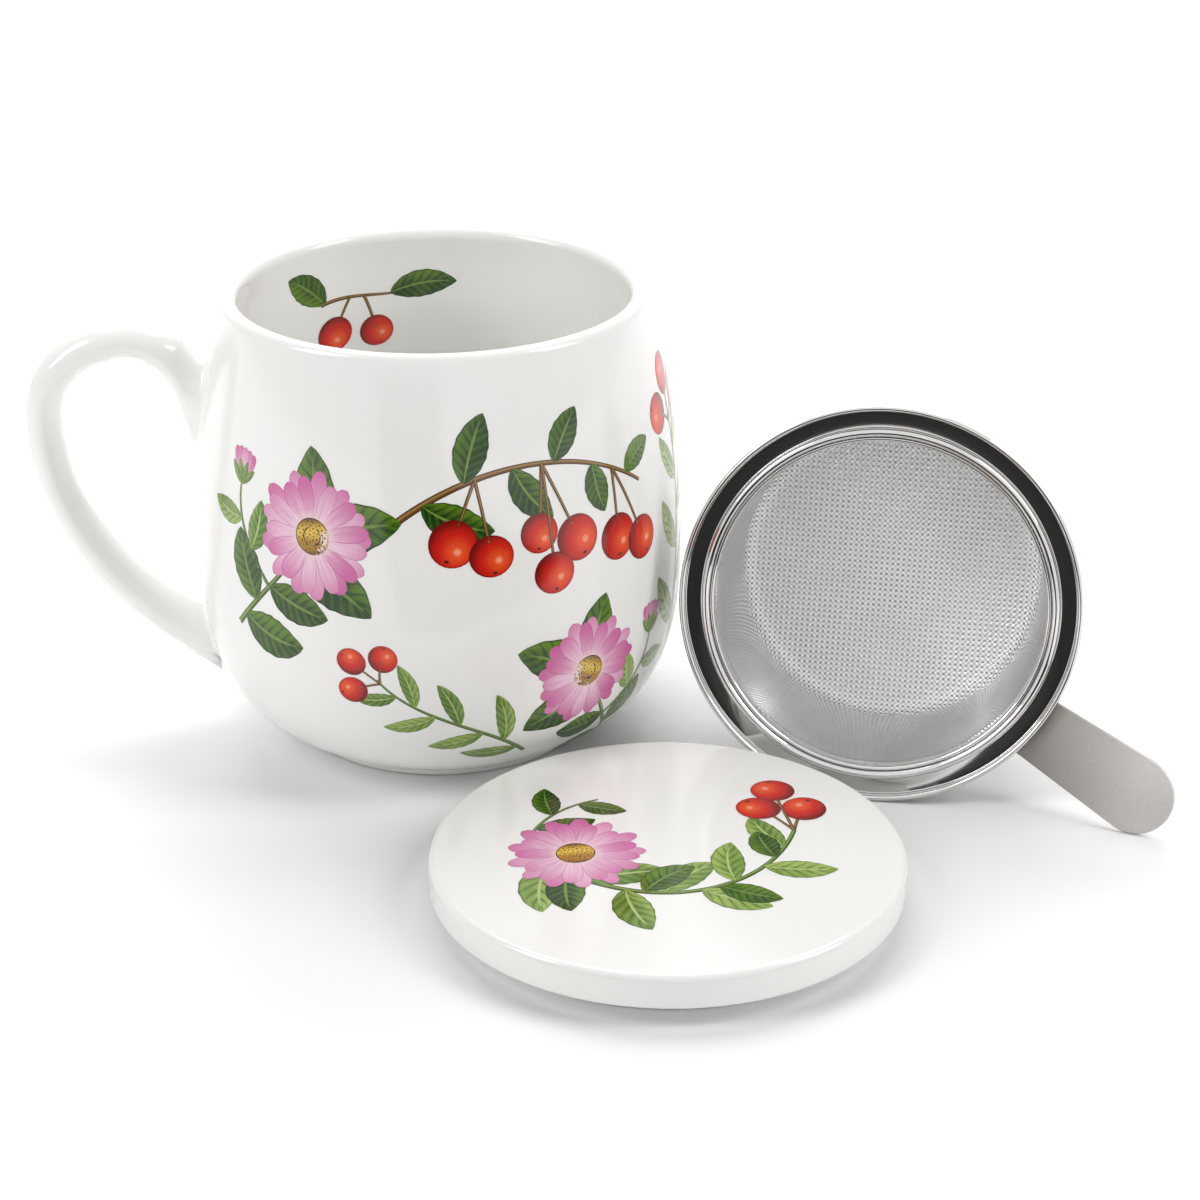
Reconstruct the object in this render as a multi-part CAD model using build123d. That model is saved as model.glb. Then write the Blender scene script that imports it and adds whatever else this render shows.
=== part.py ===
from build123d import *
import math
import os

# A porcelain tea mug with its loose lid and its steel mesh infuser, set out on a table.
# The origin is the centre of the mug's foot, on the table. The handle points to -X, the lid lies
# in front to the right, and the infuser rests on its curled edge, its tab and its basket.

# Mug body
mug_height = 93.8
lip_radius = 43.0
wall = 3.8
belly_radius = 49.6
belly_height = 38.7
bowl_drop = 0.6
bowl_spread = 0.83
bowl_slope = 27.3
hollow_spread = 0.64
foot_radius = 30.8
foot_height = 1.3
foot_width = 3.6
foot_recess = 2.4
foot_round = 0.7
base_thickness = 3.8

# Handle: a cast loop of oval section, luted to the wall at both roots
handle_thickness = 7.5
handle_width = 10.5
handle_reach = 29.6
crown_height = 84.1
crown_reach = 15.8
bow_height = 67.5
lower_root_height = 17.4
handle_fullness = 0.59
shin_drop = 23.9
heel_run = 15.8
heel_rise = 6.1
root_depth = 2.4
root_reach = 11.7
root_drop = 14.3

# Oval sections of the upper root, upright: distance out from the wall and drop below the crown
# as shares of the root's, and thickness and width as shares of the handle's own
upper_root = [
    (-0.21, 1.0, 2.62, 1.45),
    (0.07, 0.92, 2.62, 1.3),
    (0.22, 0.82, 2.64, 1.2),
    (0.36, 0.64, 2.42, 1.13),
    (0.52, 0.43, 1.84, 1.08),
    (0.74, 0.24, 1.4, 1.03),
    (1.0, 0.1, 1.12, 1.0),
]

# Oval sections of the lower limb: place along it, and thickness and width shares
lower_limb = [
    (0.15, 1.0, 1.0),
    (0.30, 1.04, 1.0),
    (0.50, 1.1, 1.0),
    (0.70, 1.17, 1.0),
    (0.84, 1.3, 1.0),
    (0.93, 1.5, 1.02),
    (1.0, 1.9, 1.08),
]

# Lid: one casting with a full round edge, a hollow underside and a locating ring
lid_radius = 44.2
lid_edge = 10.5
lid_top_round = 5.8
lid_dome = 0.5
lid_plate = 4.6
lid_ring_clearance = 0.7
lid_ring_width = 2.8
lid_ring_round = 0.6
lid_recess_round = 2.0
lid_place = (40.4, -81.8)

# Infuser flange: one sheet from the neck over the bead and across the dish to the curled edge
sheet = 0.5
flange_overlap = 0.4
curl_radius = 0.8
curl_turn = 235.0
bead_width = 1.7
bead_inset = 4.4
dish_depth = 2.0
dish_round = 0.7
dish_clearance = 0.3
neck_depth = 5.4

# Infuser basket: mesh drawn in one piece, its hem held in the neck by a clamp band. A plain grid
# of openings stands for its fine weave
mesh_thickness = 0.5
mesh_openings = 6
mesh_bar = 2.2
basket_depth = 39.0
basket_floor_radius = 32.0
basket_corner = 4.0
hem_step = 1.0
band_thickness = 0.4
band_step = 0.8

# Infuser tab: a round-ended strip, welded under the dish and bent up for the fingers
tab_thickness = 1.0
tab_root_width = 12.6
tab_end_width = 15.2
tab_reach = 30.6
tab_rise = 15.0
tab_bend_radius = 5.0
tab_lean = 7.5

# Where the infuser lies, and how far it faces round from the front
infuser_place = (85.3, -38.9)
infuser_turn = 13.8

# Search for the roll at which the tab's end touches the table: limits in degrees, and halvings
least_roll = 10
most_roll = 80
roll_steps = 24

# Sizes that follow from those above
lip_half = wall / 2
mouth_radius = lip_radius - wall
floor_height = foot_recess + base_thickness
lid_ring_radius = mouth_radius - lid_ring_clearance
lid_ring_height = dish_depth - dish_clearance
lid_top = lid_ring_height + lid_edge
flange_radius = mouth_radius + flange_overlap
curl_centre = flange_radius - curl_radius
bead_outer = flange_radius - bead_inset
neck_inner = bead_outer - bead_width
band_outer = neck_inner - mesh_thickness
dish_underside = -dish_depth - sheet
basket_taper = (neck_inner - basket_floor_radius) / (basket_depth - neck_depth)
corner_centre = basket_floor_radius + basket_corner * (basket_taper - math.hypot(1, basket_taper))
mesh_pitch = 2 * corner_centre / mesh_openings


def turned(edges):
    # Solid of revolution about Z, from a closed outline of (radius, height)
    return revolve(Plane.XZ * make_face(edges), Axis.Z)


def wall_arc():
    # Centre, outer radius and end angle of the upright arc from the belly to the lip
    inward = lip_radius - lip_half - belly_radius
    rise = mug_height - lip_half - belly_height
    radius = (inward**2 + rise**2 - lip_half**2) / (-2 * inward - wall)
    centre = (belly_radius - radius, belly_height)
    angle = math.degrees(math.atan2(rise, inward + radius))
    return centre, radius, angle


def bowl_curve(radius, foot, floor, spread, slope):
    # Rounded lower wall, upright at the belly, rising at a slope from the foot or the floor
    drop = bowl_drop * (belly_height - floor)
    reach = spread * (radius - foot)
    angle = math.radians(slope)
    return Bezier(
        (radius, belly_height),
        (radius, belly_height - drop),
        (foot + reach * math.cos(angle), floor + reach * math.sin(angle)),
        (foot, floor),
    )


def outer_bowl():
    return bowl_curve(belly_radius, foot_radius, foot_height, bowl_spread, bowl_slope)


def wall_radius(height):
    # Outside radius of the mug at a height
    if height >= belly_height:
        centre, radius, _ = wall_arc()
        return centre[0] + math.sqrt(radius**2 - (height - belly_height) ** 2)
    level = Line((0, height), (2 * belly_radius, height))
    return outer_bowl().find_intersection_points(level)[0].X


def mug_body():
    centre, radius, angle = wall_arc()
    foot_inner = foot_radius - foot_width
    floor_edge = foot_radius - wall
    outline = [
        outer_bowl(),
        CenterArc(centre, radius, 0, angle),
        CenterArc((lip_radius - lip_half, mug_height - lip_half), lip_half, angle, 180),
        CenterArc(centre, radius - wall, 0, angle),
        bowl_curve(belly_radius - wall, floor_edge, floor_height, hollow_spread, 0),
        Line((floor_edge, floor_height), (0, floor_height)),
        Line((0, floor_height), (0, foot_recess)),
        FilletPolyline(
            (0, foot_recess),
            (foot_inner, foot_recess),
            (foot_inner, 0),
            (foot_radius, 0),
            (foot_radius, foot_height),
            radius=foot_round,
        ),
    ]
    return turned(outline)


def mug_core():
    # The body without its hollow, which trims the handle's roots to the wall
    centre, radius, angle = wall_arc()
    top = CenterArc(centre, radius, 0, angle) @ 1
    outline = [
        outer_bowl(),
        CenterArc(centre, radius, 0, angle),
        Line((top.X, top.Y), (0, top.Y)),
        Line((0, top.Y), (0, foot_height)),
        Line((0, foot_height), (foot_radius, foot_height)),
    ]
    return turned(outline)


def oval(place, along, thickness, width):
    # Oval section of the handle at a place, square to the direction it runs in
    section = Ellipse(handle_width * width / 2, handle_thickness * thickness / 2)
    return Plane(origin=place, x_dir=(0, 1, 0), z_dir=along) * section


def mug_handle():
    upper_wall = wall_radius(crown_height)
    crown = (-upper_wall - crown_reach, crown_height)
    bow = (-belly_radius - handle_reach, bow_height)
    root = (root_depth - wall_radius(lower_root_height), lower_root_height)
    turn_in = handle_fullness * (crown[0] - bow[0])
    turn_down = handle_fullness * (crown_height - bow_height)
    arm = Plane.XZ * Bezier(crown, (crown[0] - turn_in, crown[1]), (bow[0], bow[1] + turn_down), bow)
    limb = Plane.XZ * Bezier(
        bow, (bow[0], bow[1] - shin_drop), (root[0] - heel_run, root[1] + heel_rise), root
    )
    outward = (-1, 0, 0)
    sections = []
    for out, drop, thickness, width in upper_root:
        height = crown_height - drop * root_drop
        place = (-wall_radius(height) - out * root_reach, 0, height)
        sections.append(oval(place, outward, thickness, width))
    sections += [oval(arm @ u, arm % u, 1.0, 1.0) for u in (0, 0.2, 0.4, 0.6, 0.8, 1)]
    sections += [oval(limb @ u, limb % u, t, w) for u, t, w in lower_limb]
    return loft(sections) - mug_core()


def lid():
    shoulder = lid_radius - lid_top_round
    lower_round = lid_edge - lid_top_round
    lower_edge = lid_radius - lower_round
    ring_inner = lid_ring_radius - lid_ring_width
    recess_top = lid_top - lid_plate
    crown = lid_top + lid_dome
    outline = [
        Bezier((0, crown), (shoulder / 2, crown), (shoulder / 2, lid_top), (shoulder, lid_top)),
        CenterArc((shoulder, lid_top - lid_top_round), lid_top_round, 0, 90),
        CenterArc((lower_edge, lid_ring_height + lower_round), lower_round, 270, 90),
        Line((lower_edge, lid_ring_height), (lid_ring_radius, lid_ring_height)),
        FilletPolyline(
            (lid_ring_radius, lid_ring_height),
            (lid_ring_radius, 0),
            (ring_inner, 0),
            (ring_inner, recess_top),
            (0, recess_top),
            radius=[lid_ring_round, lid_ring_round, lid_recess_round],
        ),
        Line((0, recess_top), (0, crown)),
    ]
    return Pos(*lid_place, 0) * turned(outline)


def flange():
    half = sheet / 2
    neck = neck_inner + half
    bead_mid = bead_width / 2 - half
    bead_height = -bead_width / 2
    bead_end = neck + 2 * bead_mid
    dish_mid = -dish_depth - half
    curl_mid = curl_radius - half
    path = [
        Line((neck, -neck_depth), (neck, bead_height)),
        CenterArc((neck + bead_mid, bead_height), bead_mid, 180, -180),
        FilletPolyline(
            (bead_end, bead_height),
            (bead_end, dish_mid),
            (curl_centre - curl_mid, dish_mid),
            (curl_centre - curl_mid, -curl_radius),
            radius=dish_round,
        ),
        CenterArc((curl_centre, -curl_radius), curl_mid, 180, -curl_turn),
    ]
    return revolve(Plane.XZ * trace(path, line_width=sheet), Axis.Z)


def clamp_band():
    # Plain hoop that presses the hem of the mesh against the neck
    band_inner = band_outer - band_thickness
    outline = Polyline(
        (band_inner, -band_step),
        (band_outer, -band_step),
        (band_outer, -neck_depth),
        (band_inner, -neck_depth),
        close=True,
    )
    return turned(outline)


def basket_side(inset):
    # Half outline of the basket from hem to floor, moved in from its outside by an inset
    hem = neck_inner - inset
    return FilletPolyline(
        (hem, -hem_step),
        (hem, -neck_depth),
        (basket_floor_radius - inset, inset - basket_depth),
        (0, inset - basket_depth),
        radius=basket_corner - inset,
    )


def floor_openings():
    # Square openings of the grid that lie on the floor, short of where its corner rises
    opening = mesh_pitch - mesh_bar
    reach = corner_centre + mesh_thickness
    cutters = []
    for place in GridLocations(mesh_pitch, mesh_pitch, mesh_openings, mesh_openings):
        across, along = abs(place.position.X), abs(place.position.Y)
        if math.hypot(across + opening / 2, along + opening / 2) < reach:
            cutters.append(Pos(Z=-basket_depth) * place * Box(opening, opening, 4 * mesh_thickness))
    return cutters


def side_openings():
    # Rows of openings round the side, between the neck and the rounded corner
    depth = basket_depth - basket_corner - neck_depth
    rows = max(1, round(depth / mesh_pitch))
    columns = max(3, round(math.tau * neck_inner / mesh_pitch))
    row_pitch = depth / rows
    width = math.tau * basket_floor_radius / columns - mesh_bar
    cutters = []
    for row in range(rows):
        drop = neck_depth + (row + 0.5) * row_pitch
        radius = neck_inner - (drop - neck_depth) * basket_taper
        cutter = Box(4 * mesh_thickness, width, row_pitch - mesh_bar)
        cutters += [Pos(Z=-drop) * place * cutter for place in PolarLocations(radius, columns)]
    return cutters


def mesh_basket():
    outline = [
        basket_side(0),
        basket_side(mesh_thickness),
        Line((neck_inner, -hem_step), (neck_inner - mesh_thickness, -hem_step)),
        Line((0, -basket_depth), (0, mesh_thickness - basket_depth)),
    ]
    return turned(outline) - (floor_openings() + side_openings())


def grip_tab():
    # The bent strip from the side, cut to its round-ended outline from above
    root = bead_outer + dish_round
    middle = dish_underside - tab_thickness / 2
    run = tab_reach * math.cos(math.radians(tab_rise))
    rise = tab_reach * math.sin(math.radians(tab_rise))
    side = FilletPolyline(
        (root, middle),
        (flange_radius, middle),
        (flange_radius + run, middle + rise),
        radius=tab_bend_radius,
    )
    strip = extrude(Plane.XZ * trace(side, line_width=tab_thickness), tab_end_width, both=True)
    end_round = tab_end_width / 2
    end = Pos(flange_radius + run - end_round, 0) * Circle(end_round)
    start = Pos(root, 0) * Rectangle(2 * sheet, tab_root_width, align=(Align.MIN, Align.CENTER))
    outline = make_hull(start.edges() + end.edges())
    tab = strip & extrude(outline, tab_reach, both=True)
    return tab.rotate(Axis((flange_radius, 0, 0), (0, 0, 1)), tab_lean)


def infuser_frame(roll):
    # Leant back until the curled edge and the basket's corner both touch the table
    ring_gap = curl_centre - corner_centre
    depth_gap = basket_depth - basket_corner - curl_radius
    round_gap = basket_corner - curl_radius
    slope = math.atan2(depth_gap, ring_gap)
    lean = math.acos(round_gap / math.hypot(ring_gap, depth_gap)) - slope
    height = curl_centre * math.cos(lean) + curl_radius * math.sin(lean) + curl_radius
    turn = math.radians(infuser_turn)
    across = Vector(math.cos(turn), -math.sin(turn), 0)
    out = Vector(-math.sin(turn) * math.cos(lean), -math.cos(turn) * math.cos(lean), math.sin(lean))
    up = out.cross(across)
    to_tab = across * math.cos(roll) - up * math.sin(roll)
    return Plane(origin=(*infuser_place, height), x_dir=to_tab, z_dir=out)


def infuser_roll():
    # Turned about its own axis until the end of the tab touches the table
    tab = grip_tab()
    high, low = math.radians(least_roll), math.radians(most_roll)
    for _ in range(roll_steps):
        roll = (high + low) / 2
        if (infuser_frame(roll) * tab).bounding_box().min.Z > 0:
            high = roll
        else:
            low = roll
    return high


def parts():
    lying = infuser_frame(infuser_roll())
    return {
        "mug_body": mug_body(),
        "mug_handle": mug_handle(),
        "lid": lid(),
        "infuser_flange": lying * flange(),
        "clamp_band": lying * clamp_band(),
        "mesh_basket": lying * mesh_basket(),
        "grip_tab": lying * grip_tab(),
    }


os.makedirs("parts", exist_ok=True)
for node, solid in parts().items():
    export_step(solid, f"parts/{node}.step")
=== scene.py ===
import bpy
import math
import random

import numpy as np
from mathutils import Matrix, Vector


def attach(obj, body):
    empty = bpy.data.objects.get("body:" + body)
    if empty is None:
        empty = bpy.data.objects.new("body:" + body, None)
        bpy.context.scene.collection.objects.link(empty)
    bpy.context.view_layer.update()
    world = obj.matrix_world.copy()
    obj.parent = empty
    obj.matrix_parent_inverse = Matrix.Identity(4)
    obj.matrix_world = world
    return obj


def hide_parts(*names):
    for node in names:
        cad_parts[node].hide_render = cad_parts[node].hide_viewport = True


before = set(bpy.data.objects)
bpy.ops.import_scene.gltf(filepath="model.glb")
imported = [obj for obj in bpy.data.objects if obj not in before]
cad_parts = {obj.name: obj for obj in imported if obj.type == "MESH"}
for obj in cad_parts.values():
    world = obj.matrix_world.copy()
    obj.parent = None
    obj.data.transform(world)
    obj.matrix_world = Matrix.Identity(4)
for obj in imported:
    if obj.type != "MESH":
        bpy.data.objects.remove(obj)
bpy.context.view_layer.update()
scene = bpy.context.scene
mm = 0.001  # sizes below are in millimetres, meshes in metres


# helpers for outlines, meshes and node trees

def bezier(points, count):
    # count steps along a Bezier of any degree, both ends included
    steps = np.linspace(0, 1, count + 1)[:, None]
    degree = len(points) - 1
    total = 0
    for place, point in enumerate(points):
        weight = math.comb(degree, place) * steps**place * (1 - steps) ** (degree - place)
        total = total + weight * np.array(point, float)
    return [tuple(row) for row in total]


def arc(centre, radius, start, sweep, count):
    angles = np.radians(np.linspace(start, start + sweep, count + 1))
    return [(centre[0] + radius * math.cos(a), centre[1] + radius * math.sin(a)) for a in angles]


def rounded(corners, radii, count):
    # open polyline with each inner corner rounded to its own radius
    path = [corners[0]]
    for before, corner, after, radius in zip(corners, corners[1:], corners[2:], radii):
        inward = (Vector(before) - Vector(corner)).normalized()
        onward = (Vector(after) - Vector(corner)).normalized()
        half = inward.angle(onward) / 2
        reach = radius / math.tan(half)
        centre = Vector(corner) + (inward + onward).normalized() * radius / math.sin(half)
        first = Vector(corner) + inward * reach - centre
        last = Vector(corner) + onward * reach - centre
        sweep = first.angle_signed(last)
        for step in range(count + 1):
            turn = -sweep * step / count
            cos, sin = math.cos(turn), math.sin(turn)
            path.append((centre.x + first.x * cos - first.y * sin, centre.y + first.x * sin + first.y * cos))
    path.append(corners[-1])
    return path


def withoutDoubles(path, gap=0.001):
    kept = [path[0]]
    for point in path[1:]:
        if math.dist(point, kept[-1]) > gap:
            kept.append(point)
    return kept


def distancesAlong(path):
    return np.concatenate([[0], np.cumsum(np.linalg.norm(np.diff(path, axis=0), axis=1))])


def leftOf(way):
    return np.stack([-way[:, 1], way[:, 0]], axis=1)


def headingsOf(path):
    # unit directions along a path and the normals to their left
    way = np.gradient(path, axis=0)
    way /= np.linalg.norm(way, axis=1)[:, None]
    return way, leftOf(way)


def pointing(angle):
    return np.array([math.cos(math.radians(angle)), math.sin(math.radians(angle))])


def quads(rows, columns, ringOfRows=False, ringOfColumns=False, first=0):
    # faces of a grid of points; a ring joins its last row or column to its first
    faces = []
    for row in range(rows if ringOfRows else rows - 1):
        low, high = first + row * columns, first + (row + 1) % rows * columns
        for column in range(columns if ringOfColumns else columns - 1):
            after = (column + 1) % columns
            faces.append((low + column, low + after, high + after, high + column))
    return faces


def linked(name, data):
    thing = bpy.data.objects.new(name, data)
    scene.collection.objects.link(thing)
    return thing


def meshFrom(name, points, faces, lay=None):
    # points in millimetres; lay is a second set of coordinates that follows the surface
    mesh = bpy.data.meshes.new(name)
    mesh.from_pydata([tuple(c * mm for c in p) for p in points], [], faces)
    if lay is not None:
        layer = mesh.attributes.new("lay", "FLOAT_VECTOR", "POINT")
        layer.data.foreach_set("vector", np.array(lay, np.float32).ravel())
    mesh.polygons.foreach_set("use_smooth", [True] * len(mesh.polygons))
    mesh.update()
    return mesh


def finished(name, mesh, body, materials, nodes=()):
    piece = linked(name, mesh)
    for material in materials:
        mesh.materials.append(material)
    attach(piece, body)
    if nodes:
        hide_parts(*nodes)


def turned(name, outline, segments, closed=False, place=None):
    # outline of (radius, height) run round the Z axis; its faces point out when it runs anticlockwise
    outline = withoutDoubles(outline)
    if closed and math.dist(outline[0], outline[-1]) < 0.001:
        outline.pop()
    points, lay, rings = [], [], []
    length = 0
    for step, (radius, height) in enumerate(outline):
        if step:
            length += math.dist((radius, height), outline[step - 1])
        onAxis = radius < 1e-6
        ring = []
        for turn in range(1 if onAxis else segments):
            angle = math.tau * turn / segments
            ring.append(len(points))
            points.append((radius * math.cos(angle), radius * math.sin(angle), height))
            lay.append((radius * math.cos(angle), radius * math.sin(angle), length))
        rings.append(ring)
    faces = []
    pairs = list(zip(rings, rings[1:]))
    if closed:
        pairs.append((rings[-1], rings[0]))
    for low, high in pairs:
        for turn in range(segments):
            after = (turn + 1) % segments
            if len(low) == 1:
                faces.append((low[0], high[after], high[turn]))
            elif len(high) == 1:
                faces.append((low[turn], low[after], high[0]))
            else:
                faces.append((low[turn], low[after], high[after], high[turn]))
    mesh = meshFrom(name, points, faces, lay)
    if place is not None:
        mesh.transform(place)
    return mesh


def feed(tree, node, values):
    # sockets set, or linked where the value is another node's output
    for name, value in values.items():
        if isinstance(value, bpy.types.NodeSocket):
            tree.links.new(value, node.inputs[name])
        else:
            node.inputs[name].default_value = value


def put(tree, kind, values=None, **settings):
    node = tree.nodes.new(kind)
    for name, value in settings.items():
        setattr(node, name, value)
    feed(tree, node, values or {})
    return node


def calc(tree, operation, *values):
    node = put(tree, "ShaderNodeMath", dict(enumerate(values)), operation=operation)
    return node.outputs[0]


def plus(tree, first, second):
    return calc(tree, "ADD", first, second)


def minus(tree, first, second):
    return calc(tree, "SUBTRACT", first, second)


def times(tree, first, second):
    return calc(tree, "MULTIPLY", first, second)


def vector(tree, **parts):
    # made of X, Y and Z; those left out are zero
    return put(tree, "ShaderNodeCombineXYZ", parts).outputs[0]


def partsOf(tree, whole):
    return put(tree, "ShaderNodeSeparateXYZ", {0: whole}).outputs


def lengthOf(tree, whole):
    return put(tree, "ShaderNodeVectorMath", {0: whole}, operation="LENGTH").outputs["Value"]


def product(tree, first, second):
    return put(tree, "ShaderNodeVectorMath", {0: first, 1: second}, operation="MULTIPLY").outputs[0]


def placeOf(tree):
    return put(tree, "ShaderNodeTexCoord").outputs["Object"]


def marked(tree, name):
    # a value that the mesh carries at each point
    return put(tree, "ShaderNodeAttribute", attribute_name=name).outputs


def layOf(tree):
    return partsOf(tree, marked(tree, "lay")["Vector"])


def noise(tree, where, scale, detail):
    node = put(tree, "ShaderNodeTexNoise", {"Vector": where, "Scale": scale, "Detail": detail})
    return node.outputs["Fac"]


# the range that most and nearly all of a noise's values lie in
noiseMost, noiseAll = (0.35, 0.65), (0.3, 0.7)


def opaque(colour):
    return colour if isinstance(colour, bpy.types.NodeSocket) else (*colour, 1)


def mixed(tree, amount, first, second):
    values = {"Factor": amount, 6: opaque(first), 7: opaque(second)}
    return put(tree, "ShaderNodeMix", values, data_type="RGBA").outputs[2]


def ranged(tree, value, low, high, toLow=0.0, toHigh=1.0, smooth=False):
    kind = "SMOOTHSTEP" if smooth else "LINEAR"
    node = put(tree, "ShaderNodeMapRange", {
        "Value": value, "From Min": low, "From Max": high, "To Min": toLow, "To Max": toHigh,
    }, interpolation_type=kind)
    return node.outputs[0]


def relief(tree, height, strength, depth):
    # a shading normal from a height; its depth is in millimetres
    values = {"Height": height, "Strength": strength, "Distance": depth * mm}
    return put(tree, "ShaderNodeBump", values).outputs[0]


def sockets(tree, direction, kind, *names):
    for name in names:
        tree.interface.new_socket(name, in_out=direction, socket_type="NodeSocket" + kind)


print("stage: camera")

cameraView = {
    "eye": (0, -524.7, 261.6), "pitch": 24.29, "yaw": 3.60, "lens": 82.395, "sensor": 36, "nearest": 0.01,
}


def makeCamera(view):
    data = bpy.data.cameras.new("camera")
    data.lens = view["lens"]
    data.sensor_width = view["sensor"]
    data.clip_start = view["nearest"]
    camera = linked("camera", data)
    camera.location = Vector(view["eye"]) * mm
    camera.rotation_euler = (math.radians(90 - view["pitch"]), 0, -math.radians(view["yaw"]))
    scene.camera = camera


makeCamera(cameraView)


print("stage: materials")


def glazeWavesGroup():
    # slow swell and fine orange peel of a fired glaze, as a height
    tree = bpy.data.node_groups.new("glazeWaves", "ShaderNodeTree")
    sockets(tree, "INPUT", "Float", "Swell Scale", "Peel Scale", "Peel")
    sockets(tree, "OUTPUT", "Float", "Height")
    given = put(tree, "NodeGroupInput").outputs
    where = placeOf(tree)
    swell = noise(tree, where, given["Swell Scale"], 1.0)
    peel = times(tree, noise(tree, where, given["Peel Scale"], 2.0), given["Peel"])
    put(tree, "NodeGroupOutput", {"Height": plus(tree, swell, peel)})
    return tree


def steelGrainGroup():
    # long fine scratches: a noise drawn out along X and Y of the lay, close set along its Z
    tree = bpy.data.node_groups.new("steelGrain", "ShaderNodeTree")
    sockets(tree, "INPUT", "Float", "Along", "Across", "Low", "High")
    sockets(tree, "OUTPUT", "Float", "Height", "Roughness")
    given = put(tree, "NodeGroupInput").outputs
    scale = vector(tree, X=given["Along"], Y=given["Along"], Z=given["Across"])
    streak = noise(tree, product(tree, marked(tree, "lay")["Vector"], scale), 1.0, 4.0)
    rough = ranged(tree, streak, *noiseAll, given["Low"], given["High"])
    put(tree, "NodeGroupOutput", {"Height": streak, "Roughness": rough})
    return tree


glazeWaves = glazeWavesGroup()
steelGrain = steelGrainGroup()


def newMaterial(name):
    material = bpy.data.materials.new(name)
    material.use_nodes = True
    tree = material.node_tree
    return material, tree, tree.nodes["Principled BSDF"]


glazeLook = {
    "waves": {"Swell Scale": 40.0, "Peel Scale": 900.0, "Peel": 0.08},
    "bump": 0.25, "bumpDepth": 0.012, "roughness": 0.11, "index": 1.52,
}


def underGlaze(tree, shader):
    # the clear coat that lies over bare porcelain and print alike
    waves = put(tree, "ShaderNodeGroup", glazeLook["waves"], node_tree=glazeWaves).outputs[0]
    feed(tree, shader, {
        "Normal": relief(tree, waves, glazeLook["bump"], glazeLook["bumpDepth"]),
        "Roughness": glazeLook["roughness"], "IOR": glazeLook["index"],
    })


porcelainLook = {
    "colour": (0.91, 0.907, 0.887), "warmth": (1.0, 0.995, 0.985), "cloudScale": 30.0,
    "bisque": (0.70, 0.685, 0.65), "bisqueRoughness": 0.6, "bareBelow": 0.45, "bareFade": 0.1,
}


def porcelainMaterial(look):
    # glazed all over but for the foot's bare ring
    material, tree, shader = newMaterial("glazedPorcelain")
    where = placeOf(tree)
    edge = look["bareBelow"] * mm, (look["bareBelow"] + look["bareFade"]) * mm
    bare = ranged(tree, partsOf(tree, where)["Z"], *edge, 1.0, 0.0)
    cloud = noise(tree, where, look["cloudScale"], 2.0)
    warm = tuple(c * f for c, f in zip(look["colour"], look["warmth"]))
    glazed = mixed(tree, ranged(tree, cloud, *noiseMost), look["colour"], warm)
    underGlaze(tree, shader)
    feed(tree, shader, {
        "Base Color": mixed(tree, bare, glazed, look["bisque"]),
        "Roughness": ranged(tree, bare, 0.0, 1.0, glazeLook["roughness"], look["bisqueRoughness"]),
    })
    return material


polishedLook = {
    "colour": (0.64, 0.63, 0.62), "bump": 0.02, "bumpDepth": 0.01,
    "grain": {"Along": 30.0, "Across": 9000.0, "Low": 0.04, "High": 0.09},
}
brushedLook = {
    # darker and browner towards its root, painted shade where the rim shades it; both places are millimetres
    # from the flange's axis
    "rootShadeColour": (0.27, 0.25, 0.228), "rootShadePlace": 40, "unshadedColour": (0.56, 0.54, 0.525), "unshadedPlace": 66,
    "mottleLow": (0.9, 0.9, 0.9), "mottleHigh": (1.06, 1.06, 1.06), "bump": 0.15, "bumpDepth": 0.01,
    "grain": {"Along": 900.0, "Across": 3800.0, "Low": 0.42, "High": 0.54},
}
wireLook = {
    # painted highlight bright on the crowns of the wires, lighter than the steel, and painted shade dark in
    # the crevices between them;
    # both places are shares of half the cloth's thickness
    "paintedCreviceShade": (0.02, 0.02, 0.02), "fullShadePlace": 0.26, "fullLightPlace": 0.64,
    "crownLow": (0.96, 0.96, 0.96), "crownHigh": (0.99, 0.99, 0.99), "smoothest": 0.3, "roughest": 0.38,
    "cloudScale": 120.0,
}


def grainedSteel(name, look):
    # bare metal whose roughness and relief follow the grain
    material, tree, shader = newMaterial(name)
    grain = put(tree, "ShaderNodeGroup", look["grain"], node_tree=steelGrain).outputs
    feed(tree, shader, {
        "Metallic": 1.0, "Roughness": grain["Roughness"],
        "Normal": relief(tree, grain["Height"], look["bump"], look["bumpDepth"]),
    })
    return material, tree, shader, grain


def polishedMaterial(look):
    material, tree, shader, _ = grainedSteel("polishedSteel", look)
    feed(tree, shader, {"Base Color": opaque(look["colour"])})
    return material


def brushedMaterial(look):
    material, tree, shader, grain = grainedSteel("brushedSteel", look)
    # painted shade: the tab darkens towards its root under the rim
    outOfShade = ranged(tree, layOf(tree)["X"], look["rootShadePlace"] * mm, look["unshadedPlace"] * mm)
    steel = mixed(tree, outOfShade, look["rootShadeColour"], look["unshadedColour"])
    mottle = mixed(tree, ranged(tree, grain["Height"], *noiseAll), look["mottleLow"], look["mottleHigh"])
    feed(tree, shader, {"Base Color": product(tree, steel, mottle)})
    return material


def wireMaterial(look):
    material, tree, shader = newMaterial("wovenWire")
    cloud = noise(tree, placeOf(tree), look["cloudScale"], 2.0)
    crest = marked(tree, "crest")["Fac"]
    crown = mixed(tree, ranged(tree, cloud, *noiseMost), look["crownLow"], look["crownHigh"])
    # painted shade in the crevices and painted highlight on the crowns, set by each point's depth in the
    # cloth
    lit = ranged(tree, crest, look["fullShadePlace"], look["fullLightPlace"], smooth=True)
    feed(tree, shader, {
        "Metallic": 1.0, "Base Color": mixed(tree, lit, look["paintedCreviceShade"], crown),
        "Roughness": ranged(tree, cloud, *noiseAll, look["smoothest"], look["roughest"]),
    })
    return material


inkGrain = {"speckScale": 2400.0, "washScale": 260.0}


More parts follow.
